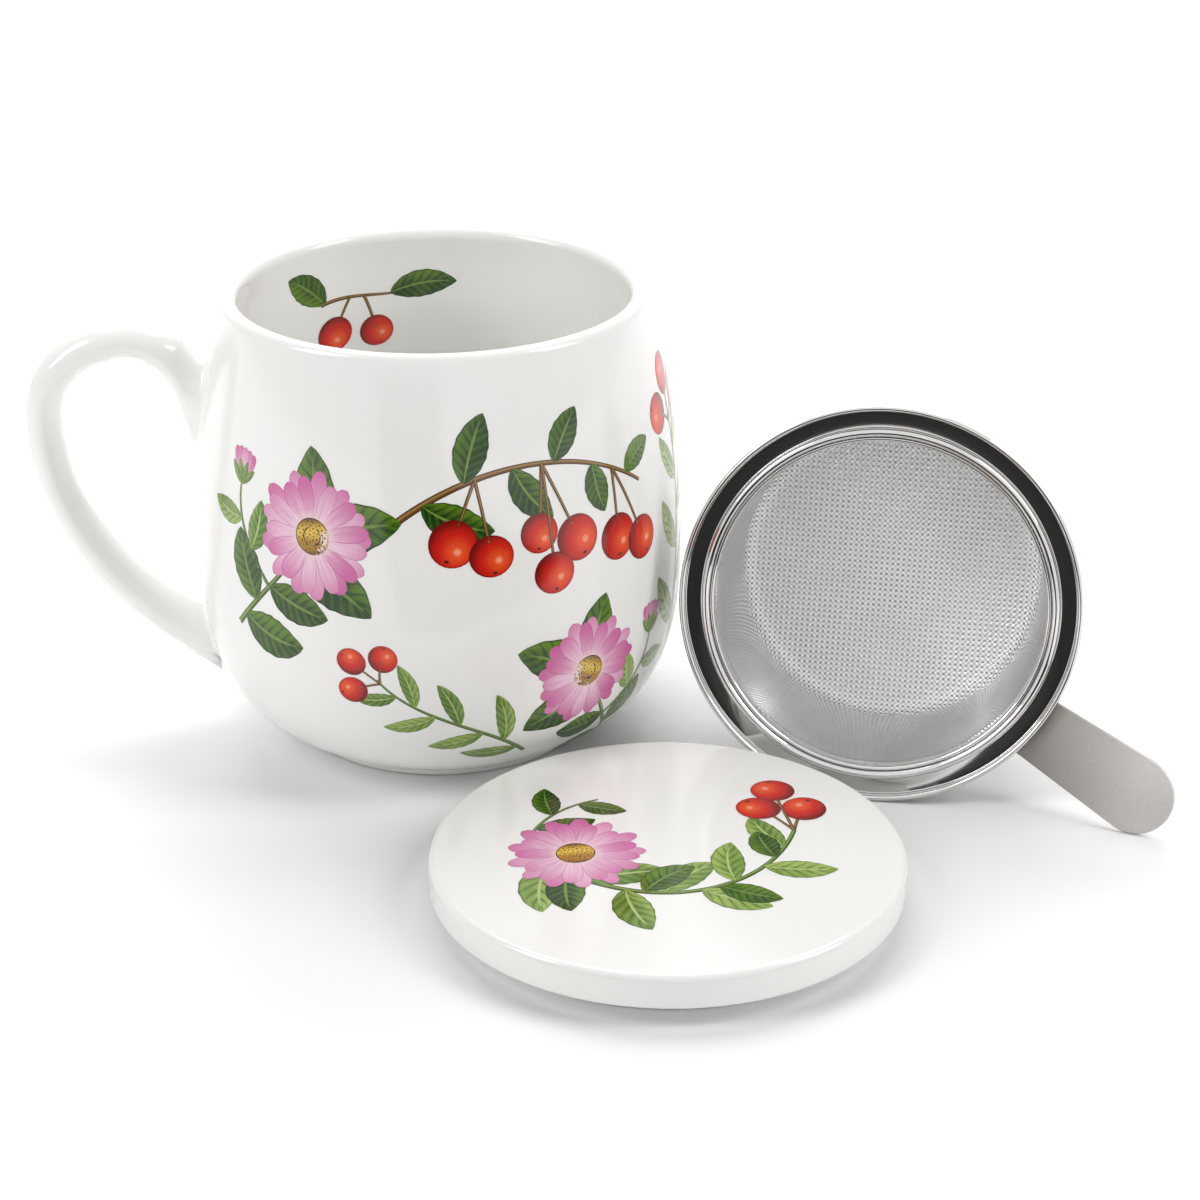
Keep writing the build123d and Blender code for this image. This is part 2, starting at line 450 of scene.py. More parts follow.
def inkSpeckleGroup():
    # fine stipple of a ceramic print, as a brightness factor about 1
    tree = bpy.data.node_groups.new("inkSpeckle", "ShaderNodeTree")
    sockets(tree, "INPUT", "Float", "Depth")
    sockets(tree, "OUTPUT", "Float", "Factor", "Wash")
    given = put(tree, "NodeGroupInput").outputs
    where = placeOf(tree)
    fine = noise(tree, where, inkGrain["speckScale"], 2.0)
    wash = noise(tree, where, inkGrain["washScale"], 3.0)
    swing = times(tree, minus(tree, fine, 0.5), given["Depth"])
    put(tree, "NodeGroupOutput", {"Factor": plus(tree, 1.0, swing), "Wash": ranged(tree, wash, *noiseMost)})
    return tree


inkSpeckle = inkSpeckleGroup()


def finishInk(tree, shader, colour, depth=0.35):
    speckle = put(tree, "ShaderNodeGroup", {"Depth": depth}, node_tree=inkSpeckle).outputs["Factor"]
    scaled = put(tree, "ShaderNodeVectorMath", {0: colour, "Scale": speckle}, operation="SCALE")
    feed(tree, shader, {"Base Color": scaled.outputs[0]})
    underGlaze(tree, shader)


leafShading = {
    # weights of the shade's parts, then where each mark begins and ends, some with the two strengths there
    "across": 0.22, "tone": 0.5, "wash": 0.25, "side": 0.25, "shade": (0.1, 0.95),
    "groove": (0.55, 1.0), "grooveFade": (1.0, 0.3, 0.35, 0.85), "ridge": (-0.5, -1.0), "ridgeShare": 0.3,
    "edge": (0.86, 0.97), "edgeShare": 0.8, "rib": (0.1, 0.05), "ribFade": (1.0, 0.7),
}


def leafInk(look):
    # a printed shape's lay is its place along, its place across and its tone
    material, tree, shader = newMaterial(look["name"])
    along, across, tone = layOf(tree)
    side = calc(tree, "ABSOLUTE", across)
    wash = put(tree, "ShaderNodeGroup", node_tree=inkSpeckle).outputs["Wash"]
    marks = leafShading
    # each half is darkest beside the midrib and one half is darker than the other
    shade = times(tree, across, marks["across"])
    for part, value in (("tone", tone), ("wash", wash), ("side", side)):
        shade = plus(tree, shade, times(tree, value, marks[part]))
    body = mixed(tree, ranged(tree, shade, *marks["shade"], smooth=True), look["dark"], look["light"])
    slant = minus(tree, along, times(tree, side, look["veinSlant"]))
    wave = calc(tree, "SINE", times(tree, slant, math.tau * look["veins"]))
    groove = ranged(tree, wave, *marks["groove"], smooth=True)
    groove = times(tree, groove, ranged(tree, side, *marks["grooveFade"]))
    body = mixed(tree, groove, body, look["vein"])
    ridge = times(tree, ranged(tree, wave, *marks["ridge"]), marks["ridgeShare"])
    body = mixed(tree, ridge, body, look["light"])
    edge = times(tree, ranged(tree, side, *marks["edge"], smooth=True), marks["edgeShare"])
    body = mixed(tree, edge, body, look["vein"])
    rib = times(tree, ranged(tree, side, *marks["rib"]), ranged(tree, along, *marks["ribFade"]))
    finishInk(tree, shader, mixed(tree, rib, body, look["rib"]))
    return material


petalShading = {
    "tone": 0.45, "flow": (0.25, 1.0, 0.0, 0.55), "shade": (0.1, 0.9), "fan": (1.2, 11.0, 30.0),
    "vein": (0.5, 0.68), "veinFade": (0.05, 0.9, 0.75, 0.35), "sideEdge": (0.88, 0.97),
    "endEdge": (0.965, 0.99), "edgeShare": 0.65, "throat": (0.34, 0.12, 0.0, 0.8), "speckle": 0.2,
}


def petalInk(look):
    material, tree, shader = newMaterial("petalInk")
    along, across, tone = layOf(tree)
    side = calc(tree, "ABSOLUTE", across)
    marks = petalShading
    flow = plus(tree, times(tree, tone, marks["tone"]), ranged(tree, along, *marks["flow"]))
    body = mixed(tree, ranged(tree, flow, *marks["shade"], smooth=True), look["pale"], look["deep"])
    parts = zip("XYZ", (along, across, tone), marks["fan"])
    spread = vector(tree, **{axis: times(tree, part, scale) for axis, part, scale in parts})
    fan = noise(tree, spread, 1.0, 1.5)
    vein = times(tree, ranged(tree, fan, *marks["vein"]), ranged(tree, along, *marks["veinFade"]))
    body = mixed(tree, vein, body, look["vein"])
    sideEdge, endEdge = ranged(tree, side, *marks["sideEdge"]), ranged(tree, along, *marks["endEdge"])
    rim = calc(tree, "MAXIMUM", sideEdge, endEdge)
    body = mixed(tree, times(tree, rim, marks["edgeShare"]), body, look["edge"])
    throat = ranged(tree, along, *marks["throat"])
    finishInk(tree, shader, mixed(tree, throat, body, look["throat"]), marks["speckle"])
    return material


def reachOf(tree, across, up):
    return calc(tree, "SQRT", plus(tree, times(tree, across, across), times(tree, up, up)))


berryShading = {
    # the glint's place across and up, then distances from it in radii, and the rim's from the middle
    "glintPlace": (-0.28, 0.26), "red": (0.15, 0.8), "deep": (0.7, 1.35), "rim": (0.9, 0.99),
    "rimShare": 0.7, "glint": (0.2, 0.08, 0.0, 0.75), "speckle": 0.3,
}


def berryInk(look):
    material, tree, shader = newMaterial("berryInk")
    across, up, _ = layOf(tree)
    marks = berryShading
    right, top = marks["glintPlace"]
    far = reachOf(tree, minus(tree, across, right), minus(tree, up, top))
    body = mixed(tree, ranged(tree, far, *marks["red"], smooth=True), look["glow"], look["red"])
    body = mixed(tree, ranged(tree, far, *marks["deep"], smooth=True), body, look["deep"])
    rim = ranged(tree, reachOf(tree, across, up), *marks["rim"])
    body = mixed(tree, times(tree, rim, marks["rimShare"]), body, look["deep"])
    body = mixed(tree, ranged(tree, far, *marks["glint"]), body, look["glint"])
    finishInk(tree, shader, body, marks["speckle"])
    return material


stalkShading = {"lightPlace": 0.25, "light": (0.6, 0.05), "edge": (0.7, 0.95)}


def stalkInk(look):
    material, tree, shader = newMaterial(look["name"])
    _, across, _ = layOf(tree)
    marks = stalkShading
    off = calc(tree, "ABSOLUTE", minus(tree, across, marks["lightPlace"]))
    body = mixed(tree, ranged(tree, off, *marks["light"], smooth=True), look["dark"], look["light"])
    edge = ranged(tree, calc(tree, "ABSOLUTE", across), *marks["edge"])
    body = mixed(tree, edge, body, look["edge"])
    finishInk(tree, shader, body)
    return material


inks = {
    "dark leaf": leafInk({
        "name": "darkLeafInk", "dark": (0.008, 0.050, 0.004), "light": (0.115, 0.235, 0.012),
        "vein": (0.006, 0.030, 0.004), "rib": (0.16, 0.27, 0.045), "veins": 8.0, "veinSlant": 0.17}),
    "pale leaf": leafInk({
        "name": "paleLeafInk", "dark": (0.080, 0.190, 0.018), "light": (0.370, 0.500, 0.120),
        "vein": (0.045, 0.120, 0.012), "rib": (0.45, 0.55, 0.20), "veins": 6.0, "veinSlant": 0.24}),
    "petal": petalInk({
        "pale": (0.88, 0.60, 0.74), "deep": (0.62, 0.135, 0.36), "vein": (0.54, 0.13, 0.32),
        "edge": (0.42, 0.08, 0.24), "throat": (0.86, 0.72, 0.62)}),
    "berry": berryInk({
        "glow": (0.84, 0.085, 0.015), "red": (0.62, 0.012, 0.004), "deep": (0.17, 0.003, 0.002),
        "glint": (0.95, 0.42, 0.24)}),
    "stalk": stalkInk({
        "name": "greenStalkInk", "dark": (0.045, 0.11, 0.012), "light": (0.25, 0.36, 0.07),
        "edge": (0.02, 0.05, 0.006)}),
    "twig": stalkInk({
        "name": "twigInk", "dark": (0.12, 0.055, 0.014), "light": (0.36, 0.20, 0.06),
        "edge": (0.045, 0.016, 0.006)}),
    "gold": stalkInk({
        "name": "goldInk", "dark": (0.42, 0.22, 0.015), "light": (0.75, 0.52, 0.06),
        "edge": (0.20, 0.09, 0.01)}),
    "seed": stalkInk({
        "name": "seedInk", "dark": (0.035, 0.010, 0.008), "light": (0.09, 0.03, 0.015),
        "edge": (0.02, 0.006, 0.005)}),
}
porcelain = porcelainMaterial(porcelainLook)
polishedSteel = polishedMaterial(polishedLook)
brushedSteel = brushedMaterial(brushedLook)
wovenWire = wireMaterial(wireLook)


print("stage: mug")

mug = {
    "height": 93.8, "lipRadius": 43.0, "wall": 3.8, "bellyRadius": 49.6, "bellyHeight": 38.7,
    "bowlDrop": 0.6, "bowlSpread": 0.83, "bowlSlope": 27.3, "hollowSpread": 0.64,
    "footRadius": 30.8, "footHeight": 1.3, "footWidth": 3.6, "footRecess": 2.4, "footRound": 0.7,
    "baseThickness": 3.8, "bowlSteps": 40, "wallSteps": 60, "lipSteps": 24, "segments": 288,
}


def bowlCurve(radius, foot, floor, spread, slope):
    drop = mug["bowlDrop"] * (mug["bellyHeight"] - floor)
    reach = spread * (radius - foot)
    angle = math.radians(slope)
    return bezier([
        (foot, floor),
        (foot + reach * math.cos(angle), floor + reach * math.sin(angle)),
        (radius, mug["bellyHeight"] - drop),
        (radius, mug["bellyHeight"]),
    ], mug["bowlSteps"])


def wallArc():
    # centre, outer radius and end angle of the upright arc from the belly to the lip
    half = mug["wall"] / 2
    inward = mug["lipRadius"] - half - mug["bellyRadius"]
    rise = mug["height"] - half - mug["bellyHeight"]
    radius = (inward**2 + rise**2 - half**2) / (-2 * inward - mug["wall"])
    angle = math.degrees(math.atan2(rise, inward + radius))
    return (mug["bellyRadius"] - radius, mug["bellyHeight"]), radius, angle


def outerWall():
    centre, radius, angle = wallArc()
    foot = mug["footRadius"], mug["footHeight"]
    bowl = bowlCurve(mug["bellyRadius"], *foot, mug["bowlSpread"], mug["bowlSlope"])
    return bowl + arc(centre, radius, 0, angle, mug["wallSteps"])


def mugOutline():
    centre, radius, angle = wallArc()
    wall, half = mug["wall"], mug["wall"] / 2
    footInner = mug["footRadius"] - mug["footWidth"]
    floorEdge, floorHeight = mug["footRadius"] - wall, mug["footRecess"] + mug["baseThickness"]
    foot = rounded([
        (0, mug["footRecess"]), (footInner, mug["footRecess"]), (footInner, 0),
        (mug["footRadius"], 0), (mug["footRadius"], mug["footHeight"]),
    ], [mug["footRound"]] * 3, 6)
    lip = arc((mug["lipRadius"] - half, mug["height"] - half), half, angle, 180, mug["lipSteps"])
    inner = arc(centre, radius - wall, angle, -angle, mug["wallSteps"])
    hollow = bowlCurve(mug["bellyRadius"] - wall, floorEdge, floorHeight, mug["hollowSpread"], 0)
    spokes = [(floorEdge * share, floorHeight) for share in (0.75, 0.5, 0.25, 0)]
    return foot + outerWall() + lip + inner + hollow[::-1] + spokes


outerProfile = withoutDoubles(outerWall())
profileRadius = np.array([p[0] for p in outerProfile])
profileHeight = np.array([p[1] for p in outerProfile])


def wallRadius(height):
    return np.interp(height, profileHeight, profileRadius)


mugBody = turned("mugBody", mugOutline(), mug["segments"])
finished("mugBody", mugBody, "mug", [porcelain], ["mug_body"])


print("stage: handle")

handle = {
    "thickness": 7.5, "width": 10.5, "reach": 29.6, "crownHeight": 84.1, "crownReach": 15.8,
    "bowHeight": 67.5, "rootHeight": 17.4, "fullness": 0.59, "shinDrop": 23.9,
    "heelRun": 15.8, "heelRise": 6.1, "rootDepth": 2.4, "fillet": 1.7,
    "upperReach": 11.7, "upperDrop": 14.3,
    # out from the wall and below the crown, as shares of those two,
    # then thickness and width as shares of the handle's own
    "upperRoot": [
        (-0.21, 1.0, 2.62, 1.45), (0.07, 0.92, 2.62, 1.3), (0.22, 0.82, 2.64, 1.2), (0.36, 0.64, 2.42, 1.13),
        (0.52, 0.43, 1.84, 1.08), (0.74, 0.24, 1.4, 1.03), (1.0, 0.1, 1.12, 1.0),
    ],
    # place along the limb, thickness and width shares
    "lowerLimb": [
        (0.15, 1.0, 1.0), (0.3, 1.04, 1.0), (0.5, 1.1, 1.0), (0.7, 1.17, 1.0),
        (0.84, 1.3, 1.0), (0.93, 1.5, 1.02), (1.0, 1.9, 1.08),
    ],
    "around": 72, "between": 7, "filletSteps": 7, "leadSteps": 10, "curveSteps": 1000,
    "armShares": (0, 0.2, 0.4, 0.6, 0.8, 1), "filletSink": 0.01, "rootSink": 1.2,
}


def bezierAt(points, share):
    # place and heading at a share of a Bezier curve
    last = handle["curveSteps"]
    place = np.array(bezier(points, last))
    step = int(round(share * last))
    low, high = max(step - 1, 0), min(step + 1, last)
    along = place[high] - place[low]
    return place[step], math.atan2(along[1], along[0]) % math.tau


def handleStations():
    # one row for each oval: centre x and z, direction of travel, half thickness, half width
    crown = (-wallRadius(handle["crownHeight"]) - handle["crownReach"], handle["crownHeight"])
    bow = (-mug["bellyRadius"] - handle["reach"], handle["bowHeight"])
    root = (handle["rootDepth"] - wallRadius(handle["rootHeight"]), handle["rootHeight"])
    heel = (root[0] - handle["heelRun"], root[1] + handle["heelRise"])
    turnIn = handle["fullness"] * (crown[0] - bow[0])
    turnDown = handle["fullness"] * (crown[1] - bow[1])
    arm = [crown, (crown[0] - turnIn, crown[1]), (bow[0], bow[1] + turnDown), bow]
    limb = [bow, (bow[0], bow[1] - handle["shinDrop"]), heel, root]
    rows = []
    for out, drop, thick, wide in handle["upperRoot"]:
        height = handle["crownHeight"] - drop * handle["upperDrop"]
        rows.append((-wallRadius(height) - out * handle["upperReach"], height, math.pi, thick, wide))
    for share in handle["armShares"]:
        place, way = bezierAt(arm, share)
        rows.append((*place, way, 1.0, 1.0))
    for share, thick, wide in handle["lowerLimb"]:
        place, way = bezierAt(limb, share)
        rows.append((*place, way, thick, wide))
    rows = np.array(rows, float)
    rows[:, 3] *= handle["thickness"] / 2
    rows[:, 4] *= handle["width"] / 2
    return rows


def smoothRows(rows, between):
    # cubic through all rows, spaced by the distance between their centres
    gaps = np.sqrt(np.hypot(np.diff(rows[:, 0]), np.diff(rows[:, 1])) + 0.01)
    knots = np.concatenate([[0], np.cumsum(gaps)])
    slopes = np.gradient(rows, knots, axis=0)
    dense = []
    for step in range(len(rows) - 1):
        span = knots[step + 1] - knots[step]
        for part in range(between):
            t = part / between
            dense.append(
                rows[step] * (1 + 2 * t) * (1 - t) ** 2 + slopes[step] * span * t * (1 - t) ** 2
                + rows[step + 1] * t * t * (3 - 2 * t) + slopes[step + 1] * span * t * t * (t - 1)
            )
    dense.append(rows[-1])
    return np.array(dense)


def wallNormal(point):
    slope = (wallRadius(point[2] + 0.2) - wallRadius(point[2] - 0.2)) / 0.4
    flat = np.array([point[0], point[1], 0]) / math.hypot(point[0], point[1])
    normal = flat - np.array([0, 0, slope])
    return normal / np.linalg.norm(normal)


def ontoWall(point, sink):
    scale = (wallRadius(point[2]) - sink) / math.hypot(point[0], point[1])
    return np.array([point[0] * scale, point[1] * scale, point[2]])


def rootedLine(line, centres):
    # one lengthwise line of the handle, from inside the wall outwards, with its end filleted onto the wall
    gap = np.hypot(line[:, 0], line[:, 1]) - wallRadius(line[:, 2])
    first = int(np.argmax(gap > 0))
    share = gap[first - 1] / (gap[first - 1] - gap[first])
    joint = line[first - 1] + (line[first] - line[first - 1]) * share
    middle = centres[first - 1] + (centres[first] - centres[first - 1]) * share
    reach = handle["fillet"]
    rest, travelled = first, 0.0
    previous = joint
    while travelled + np.linalg.norm(line[rest] - previous) < reach:
        travelled += np.linalg.norm(line[rest] - previous)
        previous = line[rest]
        rest += 1
    step = line[rest] - previous
    start = previous + step * (reach - travelled) / np.linalg.norm(step)
    normal = wallNormal(joint)
    away = (joint - middle) - normal * np.dot(joint - middle, normal)
    landing = ontoWall(joint + reach * away / np.linalg.norm(away), handle["filletSink"])
    inside = ontoWall(landing, handle["rootSink"])
    curve = np.array(bezier([landing, joint, start], handle["filletSteps"]))
    return [inside, *curve], rest


def resample(run, start, count):
    # count points evenly spaced from start to the end of a run, start left out
    path = np.vstack([start, run])
    lengths = distancesAlong(path)
    wanted = np.linspace(0, lengths[-1], count + 1)[1:]
    return np.stack([np.interp(wanted, lengths, path[:, axis]) for axis in range(3)], axis=1)


def handleMesh():
    rows = smoothRows(handleStations(), handle["between"])
    around = handle["around"]
    lines = np.zeros((around, len(rows), 3))
    centres = np.stack([rows[:, 0], np.zeros(len(rows)), rows[:, 1]], axis=1)
    for turn in range(around):
        angle = math.tau * turn / around
        across = rows[:, 3] * math.cos(angle)
        lines[turn, :, 0] = rows[:, 0] - np.sin(rows[:, 2]) * across
        lines[turn, :, 1] = rows[:, 4] * math.sin(angle)
        lines[turn, :, 2] = rows[:, 1] + np.cos(rows[:, 2]) * across
    # both roots are cut where the last line has left its fillet, so that all rings have as many points
    heads = [rootedLine(line, centres) for line in lines]
    tails = [rootedLine(line[::-1], centres[::-1]) for line in lines]
    headAt = max(rest for _, rest in heads)
    tailAt = max(rest for _, rest in tails)
    rings = []
    for turn in range(around):
        head, headRest = heads[turn]
        tail, tailRest = tails[turn]
        line = lines[turn]
        leadIn = resample(line[headRest:headAt + 1], head[-1], handle["leadSteps"])
        leadOut = resample(line[::-1][tailRest:tailAt + 1], tail[-1], handle["leadSteps"])
        middle = line[headAt + 1:len(line) - tailAt - 1]
        rings.append(np.array([*head, *leadIn, *middle, *leadOut[::-1], *tail[::-1]]))
    grid = np.array(rings)
    count = grid.shape[1]
    points = [tuple(p) for p in grid.reshape(-1, 3)]
    faces = quads(around, count, ringOfRows=True)
    for step, flip in ((0, False), (count - 1, True)):
        points.append(tuple(grid[:, step].mean(axis=0)))
        for turn in range(around):
            after = (turn + 1) % around
            face = (turn * count + step, after * count + step, len(points) - 1)
            faces.append(face[::-1] if flip else face)
    return meshFrom("mugHandle", points, faces)


finished("mugHandle", handleMesh(), "mug", [porcelain], ["mug_handle"])


print("stage: lid")

lid = {
    "radius": 44.2, "edge": 6.7, "topRound": 1.3, "lowRound": 0.9, "dome": 0.4, "plate": 4.6,
    "ringRadius": 38.5, "ringWidth": 2.8, "ringRound": 0.6, "ringHeight": 3.6, "recessRound": 2.0,
    "place": (40.4, -81.8), "segments": 256,
}


def lidTopCurve(count=36):
    top = lid["ringHeight"] + lid["edge"]
    crown = top + lid["dome"]
    shoulder = lid["radius"] - lid["topRound"]
    return bezier([(shoulder, top), (shoulder / 2, top), (shoulder / 2, crown), (0, crown)], count)


def lidOutline():
    top = lid["ringHeight"] + lid["edge"]
    lowerEdge = lid["radius"] - lid["lowRound"]
    ringInner = lid["ringRadius"] - lid["ringWidth"]
    recess = top - lid["plate"]
    under = rounded([
        (0, recess), (ringInner, recess), (ringInner, 0),
        (lid["ringRadius"], 0), (lid["ringRadius"], lid["ringHeight"]),
    ], [lid["recessRound"], lid["ringRound"], lid["ringRound"]], 8)
    spokes = [(ringInner * share, recess) for share in (0, 0.3, 0.6)]
    lower = arc((lowerEdge, lid["ringHeight"] + lid["lowRound"]), lid["lowRound"], 270, 90, 12)
    upper = arc((lid["radius"] - lid["topRound"], top - lid["topRound"]), lid["topRound"], 0, 90, 14)
    return spokes + under[1:] + lower + upper + lidTopCurve()


lidPlace = Matrix.Translation(Vector((*lid["place"], 0)) * mm)
lidPlate = turned("lidPlate", lidOutline(), lid["segments"], place=lidPlace)
finished("lidPlate", lidPlate, "lid", [porcelain], ["lid"])


print("stage: infuser")

infuser = {
    "place": (85.3, -38.9, 38.9015), "turn": 13.8, "lean": 12.132, "roll": 35.043,
    "sheet": 0.5, "flangeRadius": 39.6, "curlRadius": 0.55, "curlTurn": 235,
    "beadWidth": 1.7, "beadInset": 4.4, "dishDepth": 2.0, "dishRound": 0.5, "neckDepth": 5.4, "segments": 288,
    "bandThickness": 0.4, "bandStep": 0.8, "bandLip": 0.42, "bandRound": 0.32, "meshThickness": 0.5,
}
infuser["beadOuter"] = infuser["flangeRadius"] - infuser["beadInset"]
infuser["neckInner"] = infuser["beadOuter"] - infuser["beadWidth"]


def infuserMatrix():
    # Z runs out of the mouth and X towards the tab
    turn, lean, roll = (math.radians(infuser[key]) for key in ("turn", "lean", "roll"))
    across = Vector((math.cos(turn), -math.sin(turn), 0))
    out = Vector((-math.sin(turn) * math.cos(lean), -math.cos(turn) * math.cos(lean), math.sin(lean)))
    up = out.cross(across)
    toTab = across * math.cos(roll) - up * math.sin(roll)
    side = out.cross(toTab)
    matrix = Matrix((toTab, side, out)).transposed().to_4x4()
    matrix.translation = Vector(infuser["place"]) * mm
    return matrix


infuserPlace = infuserMatrix()


def sheetOutline(path, thickness):
    # closed outline of a bent sheet with rounded edges, from its middle line
    path = np.array(withoutDoubles(path))
    along, left = headingsOf(path)
    normal = left * thickness / 2
    ends = []
    for step, sign in ((-1, 1), (0, -1)):
        for share in (0.25, 0.5, 0.75):
            angle = math.pi * share
            bulge = normal[step] * math.cos(angle) + along[step] * thickness / 2 * math.sin(angle)
            ends.append(path[step] + sign * bulge)
    return [tuple(p) for p in [*(path + normal), *ends[:3], *(path - normal)[::-1], *ends[3:]]]


def flangePath():
    half = infuser["sheet"] / 2
    neck = infuser["neckInner"] + half
    beadMid = infuser["beadWidth"] / 2 - half
    beadHeight = -infuser["beadWidth"] / 2
    beadEnd = neck + 2 * beadMid
    dishMid = -infuser["dishDepth"] - half
    curlMid = infuser["curlRadius"] - half
    curlCentre = infuser["flangeRadius"] - infuser["curlRadius"]
    neckLine = [(neck, beadHeight * t - infuser["neckDepth"] * (1 - t)) for t in (0, 0.3, 0.6, 0.9)]
    bead = arc((neck + beadMid, beadHeight), beadMid, 180, -180, 20)
    curlFoot = curlCentre - curlMid
    dish = rounded([
        (beadEnd, beadHeight), (beadEnd, dishMid), (curlFoot, dishMid), (curlFoot, -infuser["curlRadius"]),
    ], [infuser["dishRound"]] * 2, 10)
    curl = arc((curlCentre, -infuser["curlRadius"]), curlMid, 180, -infuser["curlTurn"], 30)
    return neckLine + bead + dish + curl


def bandPath():
    # a hoop whose upper edge turns out over the mesh's hem, up to the neck
    middle = infuser["neckInner"] - infuser["meshThickness"] - infuser["bandThickness"] / 2
    top = -infuser["bandStep"]
    lip = middle + infuser["bandLip"]
    return rounded([(middle, -infuser["neckDepth"]), (middle, top), (lip, top)], [infuser["bandRound"]], 8)


for name, path, thickness, node in (
    ("infuserFlange", flangePath(), infuser["sheet"], "infuser_flange"),
    ("clampBand", bandPath(), infuser["bandThickness"], "clamp_band"),
):
    outline = sheetOutline(path, thickness)[::-1]
    mesh = turned(name, outline, infuser["segments"], closed=True, place=infuserPlace)
    finished(name, mesh, "infuser", [polishedSteel], [node])


print("stage: woven basket")

weave = {
    "pitch": 0.8, "wireRadius": 0.34, "wave": 0.2, "floorRadius": 32.0, "corner": 4.0, "depth": 39.0,
    "hemStep": 3.0, "skew": -11.0, "sides": 6,
    # name, side of the middle, turn
    "families": (("warpNear", 1.0, 0), ("warpFar", -1.0, 0), ("weftNear", 1.0, 90), ("weftFar", -1.0, 90)),
}


def weaveTree():
    # half of one family of wires, laid flat and drawn to the basket's shape by arc length from its middle
    tree = bpy.data.node_groups.new("drawnWires", "GeometryNodeTree")
    tree.is_modifier = True
    sockets(tree, "INPUT", "Float", "Pitch", "Wire Radius", "Wave", "Flat Radius", "Corner", "Corner Turn",
            "Reach", "Depth", "Side")
    sockets(tree, "INPUT", "Int", "Sides")
    sockets(tree, "INPUT", "Material", "Material")
    sockets(tree, "OUTPUT", "Geometry", "Mesh")
    given = put(tree, "NodeGroupInput").outputs
    pitch, corner, turn = given["Pitch"], given["Corner"], given["Corner Turn"]
    # straight wires side by side, each with one point in every cell of the weave
    perHalf = calc(tree, "FLOOR", calc(tree, "DIVIDE", given["Reach"], pitch))
    span = times(tree, minus(tree, perHalf, 0.5), pitch)
    starts = put(tree, "GeometryNodeMeshLine", {
        "Count": perHalf,
        "Start Location": vector(tree, X=times(tree, times(tree, pitch, 0.5), given["Side"])),
        "Offset": vector(tree, X=times(tree, pitch, given["Side"])),
    })
    straight = put(tree, "GeometryNodeCurvePrimitiveLine", {
        "Start": vector(tree, Y=times(tree, span, -1.0)), "End": vector(tree, Y=span),
    })
    spaced = put(tree, "GeometryNodeResampleCurve", {
        "Curve": straight.outputs[0], "Count": times(tree, perHalf, 2.0),
    })
    laid = put(tree, "GeometryNodeInstanceOnPoints", {
        "Points": starts.outputs[0], "Instance": spaced.outputs[0],
    })
    real = put(tree, "GeometryNodeRealizeInstances", {0: laid.outputs[0]})
    where = put(tree, "GeometryNodeInputPosition").outputs[0]
    split, length = partsOf(tree, where), lengthOf(tree, where)
    beyond = put(tree, "FunctionNodeCompare", {
        "A": length, "B": given["Reach"],
    }, data_type="FLOAT", operation="GREATER_THAN")
    kept = put(tree, "GeometryNodeDeleteGeometry", {
        "Geometry": real.outputs[0], "Selection": beyond.outputs[0],
    }, domain="POINT")
    # arc length to radius and height above the basket's floor
    flat = calc(tree, "MINIMUM", length, given["Flat Radius"])
    past = calc(tree, "MAXIMUM", minus(tree, length, given["Flat Radius"]), 0.0)
    bend = calc(tree, "MINIMUM", calc(tree, "DIVIDE", past, corner), turn)
    wall = calc(tree, "MAXIMUM", minus(tree, past, times(tree, corner, turn)), 0.0)
    cosBend, sinBend = calc(tree, "COSINE", bend), calc(tree, "SINE", bend)
    radius = plus(tree, plus(tree, flat, times(tree, corner, sinBend)),
                  times(tree, wall, calc(tree, "COSINE", turn)))
    rise = plus(tree, times(tree, corner, minus(tree, 1.0, cosBend)),
                times(tree, wall, calc(tree, "SINE", turn)))
    # over and under: the sign changes at each crossing and from each wire to the next
    cells = plus(tree, calc(tree, "FLOOR", calc(tree, "DIVIDE", split["X"], pitch)),
                 calc(tree, "FLOOR", calc(tree, "DIVIDE", split["Y"], pitch)))
    odd = calc(tree, "FLOORED_MODULO", cells, 2.0)
    wave = times(tree, minus(tree, times(tree, odd, 2.0), 1.0), given["Wave"])
    outwards = minus(tree, radius, times(tree, wave, sinBend))
    height = minus(tree, plus(tree, rise, times(tree, wave, cosBend)), given["Depth"])
    scale = calc(tree, "DIVIDE", outwards, length)
    drawn = vector(tree, X=times(tree, split["X"], scale), Y=times(tree, split["Y"], scale), Z=height)
    moved = put(tree, "GeometryNodeSetPosition", {"Geometry": kept.outputs[0], "Position": drawn})
    section = put(tree, "GeometryNodeCurvePrimitiveCircle", {
        "Resolution": given["Sides"], "Radius": given["Wire Radius"],
    })
    wires = put(tree, "GeometryNodeCurveToMesh", {
        "Curve": moved.outputs[0], "Profile Curve": section.outputs[0], "Fill Caps": True,
    })
    smooth = put(tree, "GeometryNodeSetShadeSmooth", {"Geometry": wires.outputs[0]})
    plain = put(tree, "GeometryNodeRealizeInstances", {0: smooth.outputs[0]})
    ended = put(tree, "GeometryNodeSetMaterial", {
        "Geometry": plain.outputs[0], "Material": given["Material"],
    })
    put(tree, "NodeGroupOutput", {"Mesh": ended.outputs[0]})
    return tree


def grown(tree, values, name):
    # the tree run once on an empty holder and kept as a plain mesh
    holder = linked(name, bpy.data.meshes.new(name))
    modifier = holder.modifiers.new("grow", "NODES")
    modifier.node_group = tree
    for item in tree.interface.items_tree:
        if item.in_out == "INPUT" and item.name in values:
            modifier[item.identifier] = values[item.name]
    depsgraph = bpy.context.evaluated_depsgraph_get()
    mesh = bpy.data.meshes.new_from_object(holder.evaluated_get(depsgraph))
    bpy.data.objects.remove(holder)
    mesh.name = name
    return mesh


